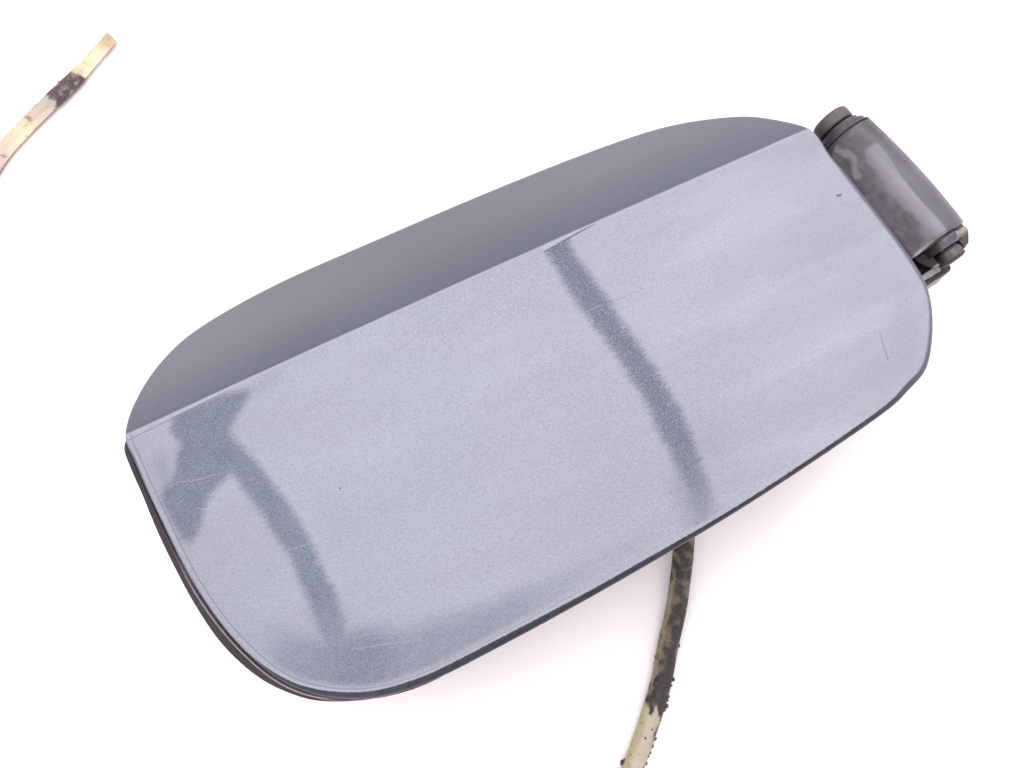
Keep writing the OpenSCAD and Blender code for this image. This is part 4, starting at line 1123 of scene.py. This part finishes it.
# ---------------------------------------------------------------------------
# hose rubber
# ---------------------------------------------------------------------------
def hose_material():
    g = G("hose_rubber")
    s = g.math("MULTIPLY", g.attr("along"), 1000.0)
    fl = g.attr("flank")
    mid, fine = g.noise(300, 5, 0.65), g.noise(1500, 3, 0.6)
    big = g.noise(60, 4, 0.6)
    pos = lambda mm: mm / 690.0
    f = g.math("DIVIDE", s, 690.0)
    # pale rubber along the hose; the near-white stops towards the free end are painted highlights
    base = g.ramp(f, [
        (0.0, lin(136, 117, 102)), (pos(40), lin(118, 101, 84)), (pos(58), lin(112, 96, 78)), (pos(67), lin(150, 134, 114)), (pos(72), lin(208, 192, 176)),
        (pos(110), lin(214, 198, 176)), (pos(300), lin(206, 192, 166)), (pos(596), lin(214, 198, 184)), (pos(614), lin(232, 210, 194)),
        (pos(622), lin(250, 228, 200)), (pos(629), lin(255, 242, 204)), (pos(636), lin(236, 214, 190)), (pos(642), lin(222, 206, 190)), (pos(648), lin(200, 194, 184)), (pos(656), lin(190, 184, 176)),
        (pos(666), lin(250, 228, 190)), (pos(672), lin(255, 250, 208)), (pos(677), lin(255, 248, 204)), (pos(681), lin(232, 204, 168)), (pos(686), lin(214, 188, 152))])
    pale = g.ramp(f, [(0.0, lin(170, 156, 130)), (pos(62), lin(176, 162, 132)), (pos(70), lin(206, 194, 152)), (pos(300), lin(206, 194, 150)), (pos(640), lin(240, 228, 196)), (pos(660), lin(226, 216, 196)), (1.0, lin(240, 222, 180))])
    base = g.mix(g.mapr(g.math("ADD", g.math("ADD", fl, g.mapr(s, 74, 64, 0, 0.2)), g.mapr(mid, 0.3, 0.7, -0.16, 0.16)), -0.38, -0.62, 0, 0.85), base, pale)
    base = g.mix(g.mapr(big, 0.4, 0.65, 0, 0.3), base, g.mix(1.0, base, (0.86, 0.82, 0.76), "MULTIPLY"))
    base = g.mix(g.mapr(mid, 0.56, 0.76, 0, 0.4), base, g.mix(1.0, base, (0.66, 0.60, 0.50), "MULTIPLY"))
    gr = g.math("ADD", g.attr("grime"), g.mapr(mid, 0.3, 0.7, -0.24, 0.24))
    gr = g.math("ADD", gr, g.mapr(fine, 0.3, 0.7, -0.12, 0.12))
    gr = g.mapr(gr, 0.34, 0.66)
    base = g.mix(g.math("MULTIPLY", g.mapr(fl, 0.55, 0.95), g.mapr(s, 140, 100, 0, 0.6)), base, lin(120, 104, 86))
    end = g.mapr(s, 600, 620)
    gcol = g.mix(g.mapr(fine, 0.35, 0.65), g.mix(end, lin(44, 38, 38), lin(84, 66, 70)), g.mix(end, lin(74, 64, 62), lin(120, 98, 100)))
    gcol = g.mix(g.mapr(mid, 0.60, 0.72, 0, 0.8), gcol, g.mix(end, lin(140, 126, 120), lin(176, 150, 146)))
    col = g.mix(gr, base, gcol)
    olv = g.pulse(g.math("ADD", s, g.mapr(mid, 0.3, 0.7, -1.2, 1.2)), 634.6, 1.5)
    olv = g.math("MULTIPLY", olv, g.pulse(g.math("ADD", fl, g.mapr(fine, 0.3, 0.7, -0.15, 0.15)), 0.05, 0.5))
    col = g.mix(g.math("MULTIPLY", olv, 0.8), col, lin(128, 112, 84))
    # painted light: the right flank by the free end is made lighter to lift the hose's shade on it, the rest darkened
    # to 0.64
    hose_shade_lift = g.math("MULTIPLY", g.math("MULTIPLY", g.mapr(fl, 0.35, 0.8), end), g.math("SUBTRACT", 1.0, gr))
    col = g.mix(1.0, col, g.mapr(hose_shade_lift, 0, 1, 0.64, 1.05), "MULTIPLY")
    g.out(Base_Color=col, Roughness=g.math("ADD", g.mapr(mid, 0.3, 0.7, 0.38, 0.55), g.math("MULTIPLY", gr, 0.25)),
          Normal=g.bump(fine, 0.2, 0.0001, g.bump(g.math("ADD", mid, gr), 0.35, 0.0003)))
    return g.mat


hose.data.materials.append(hose_material())


def make_grit():
    """lumps of dirt stuck to the hose: along in mm, turn in degrees, size"""
    import random
    rnd = random.Random(7)
    t, u, v = sweep_frames(hose_line)
    V, F = [], []
    lumps = [(69.8, 180, 1.3), (70.6, 168, 0.8), (66.3, 176, 0.8), (67.6, 172, 0.6), (60.8, 178, 0.65), (62.6, 170, 0.5), (55.3, 2, 0.7), (57.0, 8, 0.45),
             (80.4, 178, 0.85), (82.3, 172, 0.6), (84.6, 176, 0.65), (87.6, 176, 0.7), (85.8, 166, 0.45), (77.4, 114, 0.5), (80.6, 96, 0.5), (73.4, 150, 0.4),
             (91.2, 4, 1.0), (90.2, 14, 0.6), (49, 176, 0.5), (655.5, 150, 0.6), (660, 162, 0.5)]
    for s, deg, r in lumps:
        i = int(np.argmin(np.abs(hose_s - s)))
        a = math.radians(deg)
        d = math.cos(a) * u[i] + math.sin(a) * v[i]
        c = hose_line[i] + (HOSE_D / 2 - 0.25) * d
        bm = bmesh.new()
        bmesh.ops.create_icosphere(bm, subdivisions=2, radius=r)
        sx, sy, sz = (0.6 + rnd.random() * 0.8 for _ in range(3))
        seed = rnd.random() * 20
        base = len(V)
        for w in bm.verts:
            k = 1 + 0.5 * noise.noise(w.co * (1.2 / r) + Vector((seed, 0, 0)))
            V.append(c + np.array([w.co.x * sx * k, w.co.y * sy * k, w.co.z * sz * k * 0.8]))
        F += [tuple(base + w.index for w in f.verts) for f in bm.faces]
        bm.free()
    V = np.array(V)
    V[:, 2] = np.maximum(V[:, 2], 0.12)
    return mesh_object("hose_grit", inside(V), F)


grit = make_grit()
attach(grit, "housing")
gm = G("grit")
gm.out(Base_Color=gm.mix(gm.mapr(gm.noise(900, 4), 0.35, 0.65), lin(44, 37, 36), lin(84, 74, 68)), Roughness=0.85, Normal=gm.bump(gm.noise(2500, 3), 0.4, 0.0002))
grit.data.materials.append(gm.mat)


# ---------------------------------------------------------------------------
# the other nodes keep their CAD shape and get their finish here
# ---------------------------------------------------------------------------
def plastic(name, color, rough=0.55, dust=0.35, dust_c=(0.24, 0.22, 0.20), grain=0.14):
    g = G(name)
    big, mid, fine = g.noise(40, 4, 0.6), g.noise(220, 5, 0.65), g.noise(2600, 2)
    col = g.mix(g.mapr(big, 0.35, 0.65), tuple(c * 0.8 for c in color), tuple(c * 1.25 for c in color))
    col = g.mix(g.mapr(mid, 0.5, 0.72, 0, dust), col, dust_c)
    g.out(Base_Color=col, Roughness=g.mapr(mid, 0.3, 0.7, rough - 0.07, min(1, rough + 0.12)), Normal=g.bump(fine, grain, 0.00008))
    return g.mat


def metal(name, color, rough=0.38, rust=0.0):
    g = G(name)
    big, mid, fine = g.noise(60, 4, 0.6), g.noise(420, 5, 0.65), g.noise(3000, 2)
    spangle = g.n("ShaderNodeTexVoronoi")
    g.link(g.obj, spangle.inputs["Vector"])
    spangle.inputs["Scale"].default_value = 700
    lum = g.math("ADD", g.mapr(big, 0.3, 0.7, 0.85, 1.05), g.mapr(spangle.outputs["Distance"], 0, 0.8, -0.06, 0.06))
    col = g.mix(1.0, color, lum, "MULTIPLY")
    if rust:
        col = g.mix(g.mapr(mid, 0.56, 0.7, 0, rust), col, (0.16, 0.075, 0.035))
    g.out(Base_Color=col, Roughness=g.mapr(mid, 0.3, 0.7, rough - 0.08, rough + 0.16), Metallic=0.9, Normal=g.bump(fine, 0.12, 0.00006))
    return g.mat


black_mould = plastic("black_moulding", (0.018, 0.018, 0.02), 0.5, 0.3, (0.09, 0.085, 0.08))
latch_mould = plastic("latch_black", (0.016, 0.016, 0.018), 0.45, 0.2, (0.07, 0.066, 0.06))
steel = metal("zinc_steel", (0.52, 0.52, 0.53), 0.36, 0.35)
screw_m = metal("screw_steel", (0.42, 0.42, 0.43), 0.34, 0.5)
spring_m = metal("spring_steel", (0.36, 0.36, 0.37), 0.32, 0.25)
rubber = plastic("black_rubber", (0.02, 0.02, 0.02), 0.72, 0.4, (0.1, 0.092, 0.085), 0.2)
nylon = plastic("greasy_nylon", (0.15, 0.125, 0.105), 0.4, 0.5, (0.06, 0.05, 0.045), 0.1)
white_mould = plastic("latch_white", (0.66, 0.66, 0.6), 0.4, 0.35, (0.34, 0.3, 0.25), 0.08)
house = housing_material()
pin_m = pin_material()
bm_ = G("boss_moulding")
bm_n = bm_.noise(260, 5, 0.65)
bm_.out(Base_Color=bm_.mix(1.0, bm_.mix(bm_.mapr(bm_n, 0.32, 0.68), lin(92, 86, 97), lin(128, 120, 132)), (0.55, 0.55, 0.55), "MULTIPLY"), Roughness=bm_.mapr(bm_n, 0.3, 0.7, 0.22, 0.4), Normal=bm_.bump(bm_n, 0.25, 0.0003))
boss.data.materials.append(bm_.mat)
packed.data.materials.append(house)
fillet.data.materials.append(house)
crust.data.materials.append(pin_m)
head.data.materials.append(pin_m)
panel.data.materials.append(black_mould)
MATS = {
    "hinge_arm": hinge_material(), "arm_screws": screw_m, "lid_buffers": rubber,
    "latch_striker": steel, "striker_screws": screw_m, "cap_holder": black_mould, "pin_bushes": nylon,
    "filler_bowl": house, "neck_collar": house, "neck_gaiter": rubber, "gaiter_ring": steel, "hinge_pin": pin_m,
    "hinge_spring": spring_m, "latch_housing": latch_mould, "latch_nut": latch_mould, "latch_spring": spring_m,
    "latch_plunger": white_mould, "hose_clip": screw_m,
}
for name, mat in MATS.items():
    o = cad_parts[name]
    o.data.materials.clear()
    o.data.materials.append(mat)


def soften(name, width, angle=35, segments=2):
    """a small radius on a node's hard edges"""
    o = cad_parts[name]
    w = o.modifiers.new("weld", "WELD")
    w.merge_threshold = 0.00001
    p = o.modifiers.new("planar", "DECIMATE")
    p.decimate_type = "DISSOLVE"
    p.angle_limit = math.radians(0.6)
    b_ = o.modifiers.new("edge", "BEVEL")
    b_.width = width * MM
    b_.segments = segments
    b_.limit_method = "ANGLE"
    b_.angle_limit = math.radians(angle)
    b_.use_clamp_overlap = True
    b_.harden_normals = True


for name, wd in (("hinge_arm", 0.3), ("filler_bowl", 0.3), ("latch_striker", 0.25), ("cap_holder", 0.3), ("latch_plunger", 0.3),
                 ("latch_nut", 0.3), ("hinge_pin", 0.15), ("lid_buffers", 0.3), ("arm_screws", 0.2), ("striker_screws", 0.2),
                 ("latch_housing", 0.25), ("gaiter_ring", 0.15), ("hose_clip", 0.15)):
    soften(name, wd)
